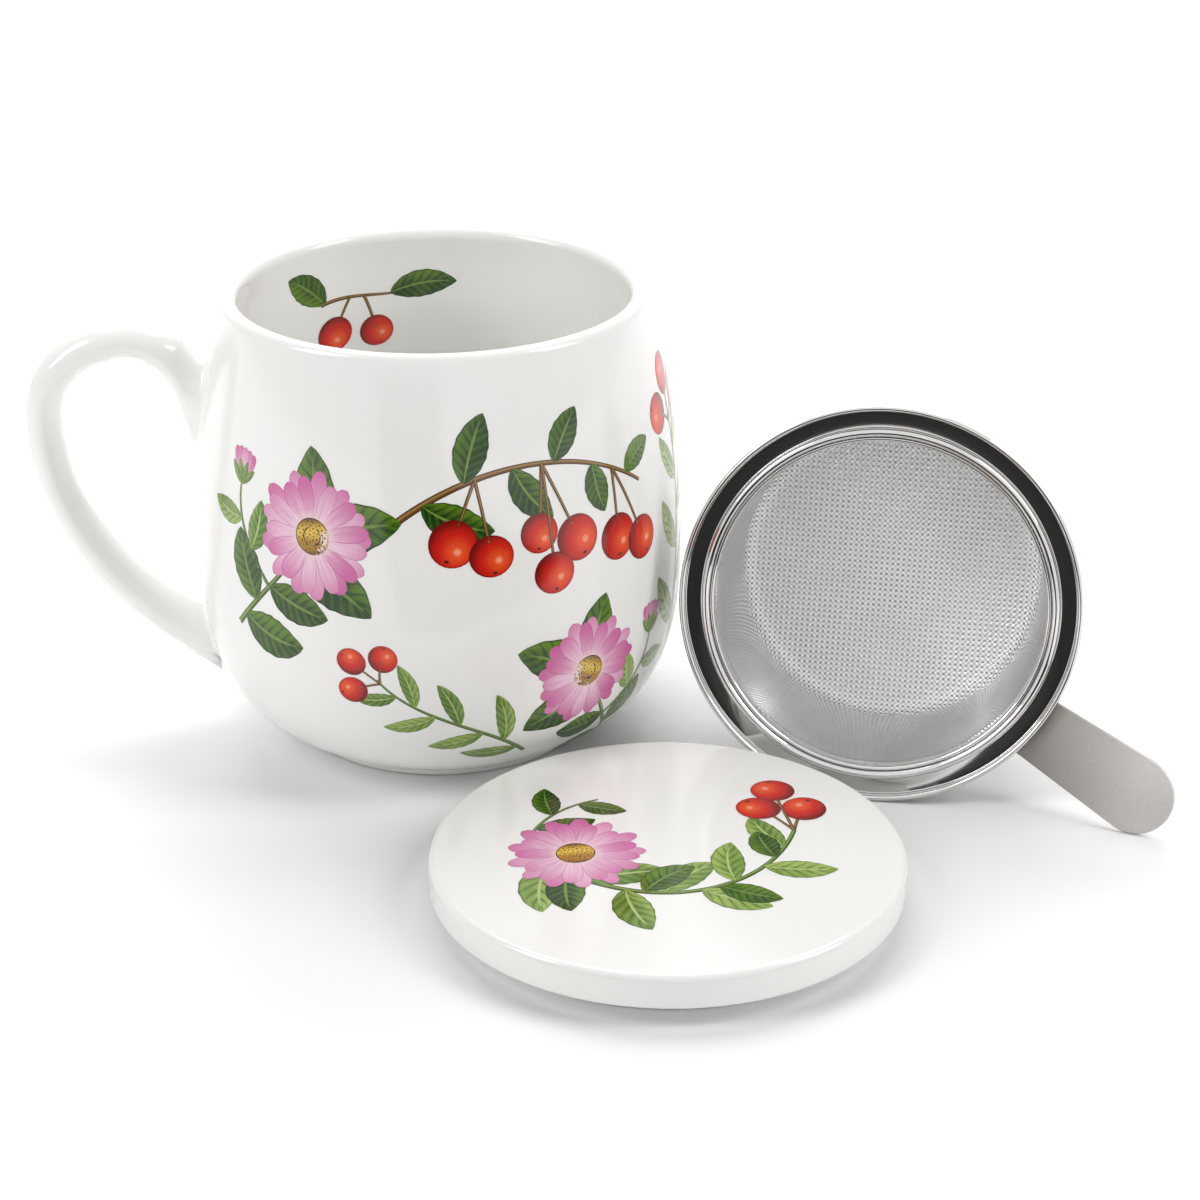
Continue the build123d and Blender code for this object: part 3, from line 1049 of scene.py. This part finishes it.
def markCrests(mesh, values, half):
    # how far each point lies from the middle of the cloth, as a share of half its thickness
    points = np.empty(len(mesh.vertices) * 3, np.float32)
    mesh.vertices.foreach_get("co", points)
    points = points.reshape(-1, 3)
    corner, turn = values["Corner"], values["Corner Turn"]
    out = np.hypot(points[:, 0], points[:, 1]) - values["Flat Radius"]
    up = points[:, 2] + values["Depth"] - corner
    onWall = np.arctan2(out, -up) > turn
    reach = np.where(onWall, out * math.sin(turn) - up * math.cos(turn), np.hypot(out, up))
    depth = np.where(out > 0, corner - reach, up + corner)
    # this value sets the wires' painted shade in the crevices and painted highlight on the crowns
    crest = mesh.attributes.new("crest", "FLOAT", "POINT")
    crest.data.foreach_set("value", np.clip(np.abs(depth) / half, 0, 1).astype(np.float32))


def basketPieces():
    half = weave["wave"] + weave["wireRadius"]
    taper = (infuser["neckInner"] - weave["floorRadius"]) / (weave["depth"] - infuser["neckDepth"])
    flatRadius = weave["floorRadius"] + weave["corner"] * (taper - math.hypot(1, taper))
    corner = weave["corner"] - half
    cornerTurn = math.pi / 2 - math.atan(taper)
    wallLength = (weave["depth"] - weave["hemStep"] - weave["corner"]) / math.sin(cornerTurn)
    values = {
        "Pitch": weave["pitch"], "Wire Radius": weave["wireRadius"], "Wave": weave["wave"],
        "Flat Radius": flatRadius, "Corner": corner, "Corner Turn": cornerTurn,
        "Reach": flatRadius + corner * cornerTurn + wallLength, "Depth": weave["depth"] - half,
        "Sides": weave["sides"], "Material": wovenWire,
    }
    tree = weaveTree()
    for name, side, turn in weave["families"]:
        mesh = grown(tree, {**values, "Side": side}, name)
        markCrests(mesh, values, half)
        skewed = Matrix.Rotation(math.radians(weave["skew"] + turn), 4, "Z")
        mesh.transform(infuserPlace @ skewed @ Matrix.Scale(mm, 4))
        print(name, "wire faces", len(mesh.polygons))
        finished(name, mesh, "infuser", [], ["mesh_basket"])


basketPieces()


print("stage: grip tab")

tab = {
    "thickness": 1.0, "rootWidth": 12.6, "endWidth": 15.2, "reach": 30.6, "rise": 15.0,
    "bendRadius": 5.0, "lean": 7.5, "bevel": 0.22, "endSteps": 48, "longestEdge": 1.2,
}


def tabMesh():
    root = infuser["beadOuter"] + infuser["dishRound"]
    middle = -infuser["dishDepth"] - infuser["sheet"] - tab["thickness"] / 2
    rise = math.radians(tab["rise"])
    run = tab["reach"] * math.cos(rise)
    flange = infuser["flangeRadius"]
    bends = [(root, middle), (flange, middle), (flange + run, middle + tab["reach"] * math.sin(rise))]
    side = np.array(withoutDoubles(rounded(bends, [tab["bendRadius"]], 10)))
    endRound = tab["endWidth"] / 2
    endCentre = flange + run - endRound
    # outline from above: straight sides from the root, tangent to the round end
    flare = math.degrees(math.asin((endRound - tab["rootWidth"] / 2) / (endCentre - root)))
    outline = [(root, -tab["rootWidth"] / 2)]
    outline += arc((endCentre, 0), endRound, -90 - flare, 180 + 2 * flare, tab["endSteps"])
    outline += [(root, tab["rootWidth"] / 2)]
    bevel, half = tab["bevel"], tab["thickness"] / 2
    levels = [  # inset of the edge and height, from the lower face to the upper
        (bevel, -half), (bevel * 0.3, -half + bevel * 0.3), (0, -half + bevel),
        (0, half - bevel), (bevel * 0.3, half - bevel * 0.3), (bevel, half),
    ]
    stations = []
    for step in range(1, len(outline)):
        first, last = Vector(outline[step - 1]), Vector(outline[step])
        pieces = max(1, int((last - first).length / tab["longestEdge"]))
        for part in range(pieces):
            stations.append(first.lerp(last, part / pieces))
    stations.append(Vector(outline[-1]))
    count = len(stations)
    points, lay = [], []

    def bent(x, y, level):
        before, height, after = np.interp((x - 0.2, x, x + 0.2), side[:, 0], side[:, 1])
        turn = math.atan((after - before) / 0.4)
        return (x - level * math.sin(turn), y, height + level * math.cos(turn))

    def station(index, inset):
        here = stations[index]
        before, after = stations[max(index - 1, 0)], stations[min(index + 1, count - 1)]
        way = (after - before).normalized()
        inward = Vector((-way.y, way.x))
        if index in (0, count - 1):
            return here + Vector((inset, inset if index == 0 else -inset))
        return here + inward * inset

    for inset, level in levels:
        for index in range(count):
            spot = station(index, inset)
            points.append(bent(spot.x, spot.y, level))
            lay.append((spot.x * mm, 0, spot.y * mm))
    faces = quads(len(levels), count, ringOfColumns=True)
    # both broad faces: rows across between mirrored stations
    for row, flip in ((0, True), (len(levels) - 1, False)):
        base = row * count
        left, right = 0, count - 1
        while right - left > 1:
            face = [base + left, base + left + 1, base + right - 1, base + right]
            if right - left == 2:
                face = [base + left, base + left + 1, base + right]
            faces.append(tuple(face[::-1]) if flip else tuple(face))
            left, right = left + 1, right - 1
    mesh = meshFrom("gripTab", points, faces, lay)
    pivot = Matrix.Translation((flange * mm, 0, 0))
    leaned = Matrix.Rotation(math.radians(tab["lean"]), 4, "Z")
    mesh.transform(infuserPlace @ pivot @ leaned @ pivot.inverted())
    return mesh


finished("gripTab", tabMesh(), "infuser", [brushedSteel], ["grip_tab"])


print("stage: printed sprigs")

# A print is drawn flat, in millimetres, as shapes of one ink each, then laid on its surface.
# Later shapes lie a hair higher, so that they cover earlier ones.
printing = {
    "lift": 0.03, "layer": 0.0006, "leafRows": 26, "leafColumns": 8, "stalkColumns": 4,
    "belly": (0.75, 0.85), "ripple": 0.025, "ripples": 5.5,
    "petalFoot": 0.4, "petalSwell": 1.3, "petalBlunt": 5,
    "petals": 13, "petalRounds": (1.0, 0.88), "seeds": 46, "seedAngle": 137.5, "seed": 11,
}
inkNames = list(inks)


def newSheet():
    return {"points": [], "lay": [], "faces": [], "inks": [], "layers": 0}


def addGrid(sheet, grid, lay, ink):
    rows, columns = grid.shape[:2]
    first = len(sheet["points"])
    height = printing["lift"] + printing["layer"] * sheet["layers"]
    sheet["layers"] += 1
    for row in range(rows):
        for column in range(columns):
            sheet["points"].append((*grid[row, column], height))
            sheet["lay"].append(tuple(lay[row, column]))
    faces = [(a, d, c, b) for a, b, c, d in quads(rows, columns, first=first)]
    sheet["faces"] += faces
    sheet["inks"] += [inkNames.index(ink)] * len(faces)


def bladeLine(base, angle, length, curl):
    # gently curling middle line and its left-hand normals
    share = np.linspace(0, 1, printing["leafRows"])
    heading = np.radians(angle + curl * (share - 0.5))
    step = length / (len(share) - 1)
    way = np.stack([np.cos(heading), np.sin(heading)], axis=1)
    path = np.array(base) + np.vstack([[0, 0], np.cumsum((way[1:] + way[:-1]) / 2 * step, axis=0)])
    return share, path, leftOf(way)


def addStrip(sheet, share, path, normal, half, columns, tone, ink):
    # both sides of a middle line; its lay is its share along, its place across and its tone
    across = np.linspace(-1, 1, columns + 1)
    grid = path[:, None, :] + normal[:, None, :] * (half[:, None] * across)[:, :, None]
    lay = np.stack(np.broadcast_arrays(share[:, None], across[None, :], tone), axis=2)
    addGrid(sheet, grid, lay, ink)


def addBlade(sheet, base, angle, length, width, ink, curl, tone, ripple=printing["ripple"]):
    share, path, normal = bladeLine(base, angle, length, curl)
    rise, fall = printing["belly"]
    peak = rise / (rise + fall)
    half = (share / peak) ** rise * ((1 - share) / (1 - peak)) ** fall * width / 2
    half = half * (1 + ripple * np.sin(share * math.tau * printing["ripples"]))
    addStrip(sheet, share, path, normal, half, printing["leafColumns"], tone, ink)


def addPetal(sheet, base, angle, length, width, tone):
    # strap-shaped, narrow at its foot and blunt at its end
    share, path, normal = bladeLine(base, angle, length, 0.0)
    foot = printing["petalFoot"]
    half = foot + (1 - foot) * np.sin(share * math.pi / 2) ** printing["petalSwell"]
    half = half * np.sqrt(1 - share ** printing["petalBlunt"]) * width / 2
    addStrip(sheet, share, path, normal, half, printing["leafColumns"], tone, "petal")


def addStalk(sheet, points, width, ink, taper=0.55, rows=22):
    path = np.array(bezier(points, rows - 1))
    _, normal = headingsOf(path)
    share = np.linspace(0, 1, rows)
    half = width / 2 * (1 - (1 - taper) * share)
    addStrip(sheet, share, path, normal, half, printing["stalkColumns"], 0.5, ink)


def addRound(sheet, centre, radius, ink, stretch=1.0, turn=0.0, spokes=28, rings=5):
    # filled round or oval; its lay is its own place across and up
    angles = np.linspace(0, math.tau, spokes + 1)
    shares = np.linspace(0.02, 1, rings + 1)
    unit = np.stack([np.outer(shares, np.cos(angles)), np.outer(shares, np.sin(angles))], axis=2)
    cos, sin = pointing(turn)
    drawn = unit * radius * np.array([1, stretch])
    x, y = drawn[:, :, 0], drawn[:, :, 1]
    grid = np.stack([x * cos - y * sin, x * sin + y * cos], axis=2)
    lay = np.concatenate([unit, np.full(unit.shape[:2] + (1,), 0.5)], axis=2)
    addGrid(sheet, grid + np.array(centre), lay, ink)


def along(points, share):
    path = np.array(bezier(points, 100))
    step = min(int(share * 100), 99)
    way = path[step + 1] - path[step]
    return path[step], math.degrees(math.atan2(way[1], way[0]))


def addBerry(sheet, root, centre, radius, chance):
    # round berry on its stalk, with a small dark eye
    root, centre = np.array(root, float), np.array(centre, float)
    sag = (root + centre) / 2 + np.array([0.0, chance.uniform(0.5, 1.6)])
    addStalk(sheet, [root, sag, centre], 0.75, "twig", 0.8, 12)
    away = math.degrees(math.atan2(*(centre - root)[::-1]))
    addRound(sheet, centre, radius, "berry", chance.uniform(0.98, 1.08), away - 90)
    end = centre + radius * 0.8 * pointing(away)
    addRound(sheet, end, radius * 0.11, "seed", 0.6, away - 90, 10, 1)


def addDaisy(sheet, centre, radius, turn, chance):
    # two rounds of strap petals about a domed, seeded heart
    petals = printing["petals"]
    for layer, reach in enumerate(printing["petalRounds"]):
        for order in range(petals):
            angle = turn + 360 * (order + layer / 2) / petals + chance.uniform(-4, 4)
            length = radius * reach * chance.uniform(0.8, 0.9)
            addPetal(sheet, np.array(centre) + 0.14 * radius * pointing(angle), angle, length,
                     radius * chance.uniform(0.31, 0.37), chance.uniform(0.05, 1.0))
    heart = 0.27 * radius
    addRound(sheet, centre, heart * 1.06, "seed", 1.0, 0, 24, 2)
    addRound(sheet, centre, heart, "gold", 1.0, 0, 24, 3)
    # seeds on the golden angle
    for order in range(printing["seeds"]):
        reach = 0.93 * heart * math.sqrt((order + 0.5) / printing["seeds"])
        spot = np.array(centre) + reach * pointing(order * printing["seedAngle"])
        addRound(sheet, spot, 0.2, "seed" if order % 3 else "twig", 1.0, 0, 6, 1)


def addLeaves(sheet, stalk, places, length, width, ink, chance, spread):
    # leaves along a stalk on alternate sides, smaller towards its end
    for order, share in enumerate(places):
        foot, heading = along(stalk, share)
        side = 1 if order % 2 else -1
        size = 1 - 0.3 * share
        angle = heading + side * spread * chance.uniform(0.85, 1.15)
        reach = length * size * chance.uniform(0.92, 1.08)
        curl = -side * chance.uniform(15, 40)
        tone = chance.uniform(0, 1)
        addBlade(sheet, foot, angle, reach, width * size, ink, curl, tone)


def daisySpray(sheet, chance):
    # one open daisy over broad dark leaves, with a bud on its own stalk
    stem = [(-20, -17), (-12, -10), (-6, -6), (2, 2)]
    branch = [(-9, -8.5), (-14, -1), (-17, 5), (-15, 12)]
    addStalk(sheet, stem, 1.3, "stalk")
    addStalk(sheet, branch, 0.9, "stalk")
    addLeaves(sheet, stem, (0.12, 0.3, 0.5), 16, 9, "dark leaf", chance, 62)
    addBlade(sheet, (-2, -2), -38, 19, 10, "dark leaf", -30, 0.2)
    addBlade(sheet, (2, 2), 82, 19, 9.5, "dark leaf", 25, 0.8)
    addBlade(sheet, (2, 2), 8, 20, 10, "dark leaf", -25, 0.55)
    addLeaves(sheet, branch, (0.35, 0.65), 12, 6, "pale leaf", chance, 55)
    bud, heading = along(branch, 0.99)
    for tilt, tone in ((-24, 0.9), (24, 0.7), (-12, 0.5), (12, 0.6), (0, 0.3)):
        addPetal(sheet, bud, heading + tilt, 7.5, 2.8, tone)
    for tilt in (-42, -14, 16, 44):
        addBlade(sheet, bud, heading + tilt, 5.2, 1.7, "pale leaf", 0.0, 0.3, 0.0)
    addDaisy(sheet, (3, 3), 13, 20, chance)


def berryTwig(sheet, chance):
    # arching brown twig with hanging bunches of round berries
    twig = [(-27, -5), (-12, 9), (8, 11), (27, -1)]
    addStalk(sheet, twig, 1.5, "twig", 0.5, 30)
    addLeaves(sheet, twig, (0.1, 0.26, 0.44, 0.6, 0.76, 0.92), 15, 7.5, "dark leaf", chance, 58)
    bunches = (
        (0.3, [(-16, -8.5), (-8.5, -11)]),
        (0.55, [(1, -7), (9.5, -9), (4.5, -15.5)]),
        (0.85, [(20, -11), (27.5, -13)]),
    )
    for share, fruits in bunches:
        root, _ = along(twig, share)
        for fruit in fruits:
            addBerry(sheet, root, fruit, chance.uniform(3.9, 4.7), chance)


def leafySprig(sheet, chance):
    # slender upright sprig of narrow pale leaves with berries at its head
    stem = [(2, -31), (-5, -12), (5, 8), (-1, 25)]
    addStalk(sheet, stem, 1.5, "stalk", 0.45, 30)
    addLeaves(sheet, stem, (0.08, 0.2, 0.34, 0.48, 0.62, 0.74, 0.86), 19, 6.2, "pale leaf", chance, 42)
    for fruit in ((-8, 27), (6.5, 29), (-1.5, 34)):
        addBerry(sheet, (-0.5, 23.5), fruit, 4.3, chance)


def smallPair(sheet, chance):
    # two berries and two leaves on a short twig
    twig = [(-9, 1), (-3, 3.5), (3, 2.5), (8, 3.5)]
    addStalk(sheet, twig, 1.0, "twig")
    addBlade(sheet, (-8, 1.2), 150, 14, 6.5, "dark leaf", 25, 0.6)
    addBlade(sheet, (7, 3.4), 15, 15, 6.5, "dark leaf", -25, 0.3)
    addBerry(sheet, (-2, 3), (-4.5, -6), 4.0, chance)
    addBerry(sheet, (1, 3), (5, -5.5), 3.7, chance)


def crescentSpray(sheet, chance):
    # the lid's spray: a long bowed stalk with leaves both sides, one daisy and a bunch of berries
    stem = [(-27, 4), (-14, -24), (14, -24), (26, 3)]
    addStalk(sheet, stem, 1.6, "stalk", 0.6, 36)
    addLeaves(sheet, stem, (0.08, 0.2, 0.32, 0.44, 0.56, 0.68, 0.8, 0.92), 18, 8.4, "pale leaf", chance, 50)
    addLeaves(sheet, stem, (0.14, 0.38, 0.62, 0.86), 15, 8, "dark leaf", chance, 48)
    upper = [(-27, 4), (-26, 12), (-20, 20), (-10, 22)]
    addStalk(sheet, upper, 1.0, "stalk")
    addLeaves(sheet, upper, (0.35, 0.6, 0.85), 14, 7, "dark leaf", chance, 55)
    for fruit in ((21, 13), (30, 11.5), (25.5, 20)):
        addBerry(sheet, (26, 3), fruit, 4.5, chance)
    addDaisy(sheet, (-18, 1), 13.5, 50, chance)


def laid(sheet, placing, chance, motif, turn, scale, mirror=1):
    # one motif drawn by itself, turned and scaled, and its points placed on a surface
    own = newSheet()
    motif(own, chance)
    cos, sin = pointing(turn) * scale
    first = len(sheet["points"])
    for x, y, height in own["points"]:
        x *= mirror
        sheet["points"].append(placing(x * cos - y * sin, x * sin + y * cos, height))
    sheet["lay"] += own["lay"]
    for face in own["faces"]:
        face = tuple(first + corner for corner in face)
        sheet["faces"].append(face if mirror > 0 else face[::-1])
    sheet["inks"] += own["inks"]


def printedMesh(name, sheet, place=None):
    mesh = meshFrom(name, sheet["points"], sheet["faces"], sheet["lay"])
    mesh.polygons.foreach_set("material_index", sheet["inks"])
    mesh.update()
    if place is not None:
        mesh.transform(place)
    return mesh


def alongProfile(outline):
    # arc length, radius, height and outward normal of a turned wall
    path = np.array(outline)
    way, _ = headingsOf(path)
    return distancesAlong(path), path[:, 0], path[:, 1], way[:, 1], -way[:, 0]


def onTurned(profile, azimuth, level, out=1.0):
    # places points on a turned wall about an anchor: azimuth in degrees from the front, level along the wall
    lengths, radii, heights, normalOut, normalUp = profile
    anchor = np.interp(level, lengths, radii)

    def placing(x, y, height):
        where = level + y
        radius = np.interp(where, lengths, radii) + out * height * np.interp(where, lengths, normalOut)
        rise = np.interp(where, lengths, heights) + out * height * np.interp(where, lengths, normalUp)
        angle = math.radians(azimuth) + out * x / anchor
        return (radius * math.sin(angle), -radius * math.cos(angle), rise)

    return placing


mugPrints = [
    # motif, azimuth, level, turn, scale, mirror
    (daisySpray, -33, 61, 8, 1.0, 1),
    (berryTwig, 22, 72, -4, 0.98, 1),
    (leafySprig, 1, 27, 58, 0.66, -1),
    (daisySpray, 37, 30, -20, 0.92, -1),
    (leafySprig, 74, 52, -4, 0.98, 1),
    (berryTwig, 122, 68, 6, 0.98, -1),
    (daisySpray, 118, 27, 15, 0.9, 1),
    (leafySprig, 160, 50, 4, 1.0, -1),
    (daisySpray, 204, 60, -6, 1.0, -1),
    (berryTwig, 200, 24, 4, 0.9, 1),
]


def mugPrintMesh():
    sheet = newSheet()
    profile = alongProfile(outerProfile)
    chance = random.Random(printing["seed"])
    for motif, azimuth, level, turn, scale, mirror in mugPrints:
        laid(sheet, onTurned(profile, azimuth, level), chance, motif, turn, scale, mirror)
    return printedMesh("mugPrint", sheet)


def innerPrintMesh():
    centre, radius, angle = wallArc()
    inner = arc(centre, radius - mug["wall"], 0, angle, mug["wallSteps"])
    sheet = newSheet()
    chance = random.Random(printing["seed"] + 1)
    level = 0.72 * math.radians(angle) * (radius - mug["wall"])
    laid(sheet, onTurned(alongProfile(inner), 203, level, -1.0), chance, smallPair, -6, 1.0, 1)
    return printedMesh("innerPrint", sheet)


def lidPrintMesh():
    top = np.array(lidTopCurve(200))[::-1]

    def placing(x, y, height):
        return (x, y, np.interp(math.hypot(x, y), top[:, 0], top[:, 1]) + height)

    sheet = newSheet()
    laid(sheet, placing, random.Random(printing["seed"] + 2), crescentSpray, 6, 0.95)
    return printedMesh("lidPrint", sheet, lidPlace)


for name, mesh, body in (
    ("mugPrint", mugPrintMesh(), "mug"),
    ("innerPrint", innerPrintMesh(), "mug"),
    ("lidPrint", lidPrintMesh(), "lid"),
):
    finished(name, mesh, body, list(inks.values()))


print("stage: floor and light")

studio = {
    "skyDiffuse": 0.08, "skyGloss": 1.1, "aim": (0.02, -0.03, 0.05),
    "floorSize": 6000, "floorDrop": 0.02, "floorColour": 0.92, "floorRoughness": 0.9,
    # the floor's own light, which grows between two distances in metres from the mug
    "nearLift": 0.0, "farLift": 0.7, "liftFrom": 0.13, "liftTo": 0.9,
}


def makeWorld():
    world = bpy.data.worlds.new("studio")
    scene.world = world
    world.use_nodes = True
    tree = world.node_tree
    ray = put(tree, "ShaderNodeLightPath").outputs
    background = tree.nodes["Background"]
    gloss = times(tree, ray["Is Glossy Ray"], studio["skyGloss"] - studio["skyDiffuse"])
    seen = times(tree, ray["Is Camera Ray"], 1.0 - studio["skyDiffuse"])
    level = plus(tree, plus(tree, gloss, seen), studio["skyDiffuse"])
    feed(tree, background, {"Color": (1, 1, 1, 1), "Strength": level})


def makeFloor():
    size = studio["floorSize"]
    corners = [(-size, -size, 0), (size, -size, 0), (size, size, 0), (-size, size, 0)]
    mesh = meshFrom("floor", corners, [(0, 1, 2, 3)])
    floor = linked("floor", mesh)
    floor.location.z = -studio["floorDrop"] * mm
    material, tree, shader = newMaterial("paleFloor")
    ray = put(tree, "ShaderNodeLightPath").outputs
    seen = calc(tree, "MAXIMUM", calc(tree, "MAXIMUM", ray["Is Camera Ray"], ray["Is Glossy Ray"]),
                ray["Is Transmission Ray"])
    lift = ranged(tree, lengthOf(tree, placeOf(tree)), studio["liftFrom"], studio["liftTo"],
                  studio["nearLift"], studio["farLift"])
    feed(tree, shader, {
        "Base Color": opaque([studio["floorColour"]] * 3), "Roughness": studio["floorRoughness"],
        "Specular IOR Level": 0.0, "Emission Color": (1, 1, 1, 1),
        "Emission Strength": times(tree, seen, lift),
    })
    mesh.materials.append(material)


lamps = [
    # name, place and size in metres, power, seen in reflections; all aim at the middle of the set
    ("softboxTop", (0.0, 0.55, 1.15), (1.1, 0.7), 9.4, True),
    ("softboxBack", (0.0, 1.3, 0.7), (1.6, 0.6), 15.0, False),
    ("softboxLeft", (-0.9, -0.3, 0.8), (0.4, 0.7), 5.4, True),
    ("softboxRight", (0.95, -0.3, 0.85), (0.4, 0.7), 5.8, True),
    ("fillLeft", (-1.4, -0.3, 0.4), (0.4, 0.7), 0.8, False),
    ("fillRight", (1.4, -0.3, 0.4), (0.4, 0.7), 2.0, False),
    ("fillFront", (-0.1, -1.5, 0.5), (1.6, 0.3), 4.6, False),
]


def areaLight(name, spot, size, power, glossy):
    data = bpy.data.lights.new(name, "AREA")
    data.shape = "RECTANGLE"
    data.size, data.size_y = size
    data.energy = power
    light = linked(name, data)
    light.location = spot
    light.rotation_euler = (Vector(studio["aim"]) - Vector(spot)).to_track_quat("-Z", "Y").to_euler()
    light.visible_glossy = glossy


cards = [
    # name and corners in millimetres; black velvet that only mirror reflections see
    ("velvetWall", [(-850, -1600, -10), (20, -1600, -10), (20, -1600, 290), (-850, -1600, 290)]),
    ("velvetMat", [(-850, -1600, 0.5), (20, -1600, 0.5), (170, -140, 0.5), (-40, -140, 0.5)]),
]
velvet = {"colour": (0.05, 0.05, 0.05), "roughness": 1.0}


def velvetMaterial(look):
    material, tree, shader = newMaterial("blackVelvet")
    values = {"Base Color": opaque(look["colour"]), "Roughness": look["roughness"], "Specular IOR Level": 0.0}
    feed(tree, shader, values)
    return material


def darkCard(name, corners, material):
    mesh = meshFrom(name, corners, [(0, 1, 2, 3)])
    mesh.materials.append(material)
    card = linked(name, mesh)
    card.visible_camera = card.visible_diffuse = card.visible_shadow = False
    card.visible_transmission = card.visible_volume_scatter = False


makeWorld()
makeFloor()
for lamp in lamps:
    areaLight(*lamp)
blackVelvet = velvetMaterial(velvet)
for name, corners in cards:
    darkCard(name, corners, blackVelvet)

scene.view_settings.view_transform = "Standard"

print("stage: end")
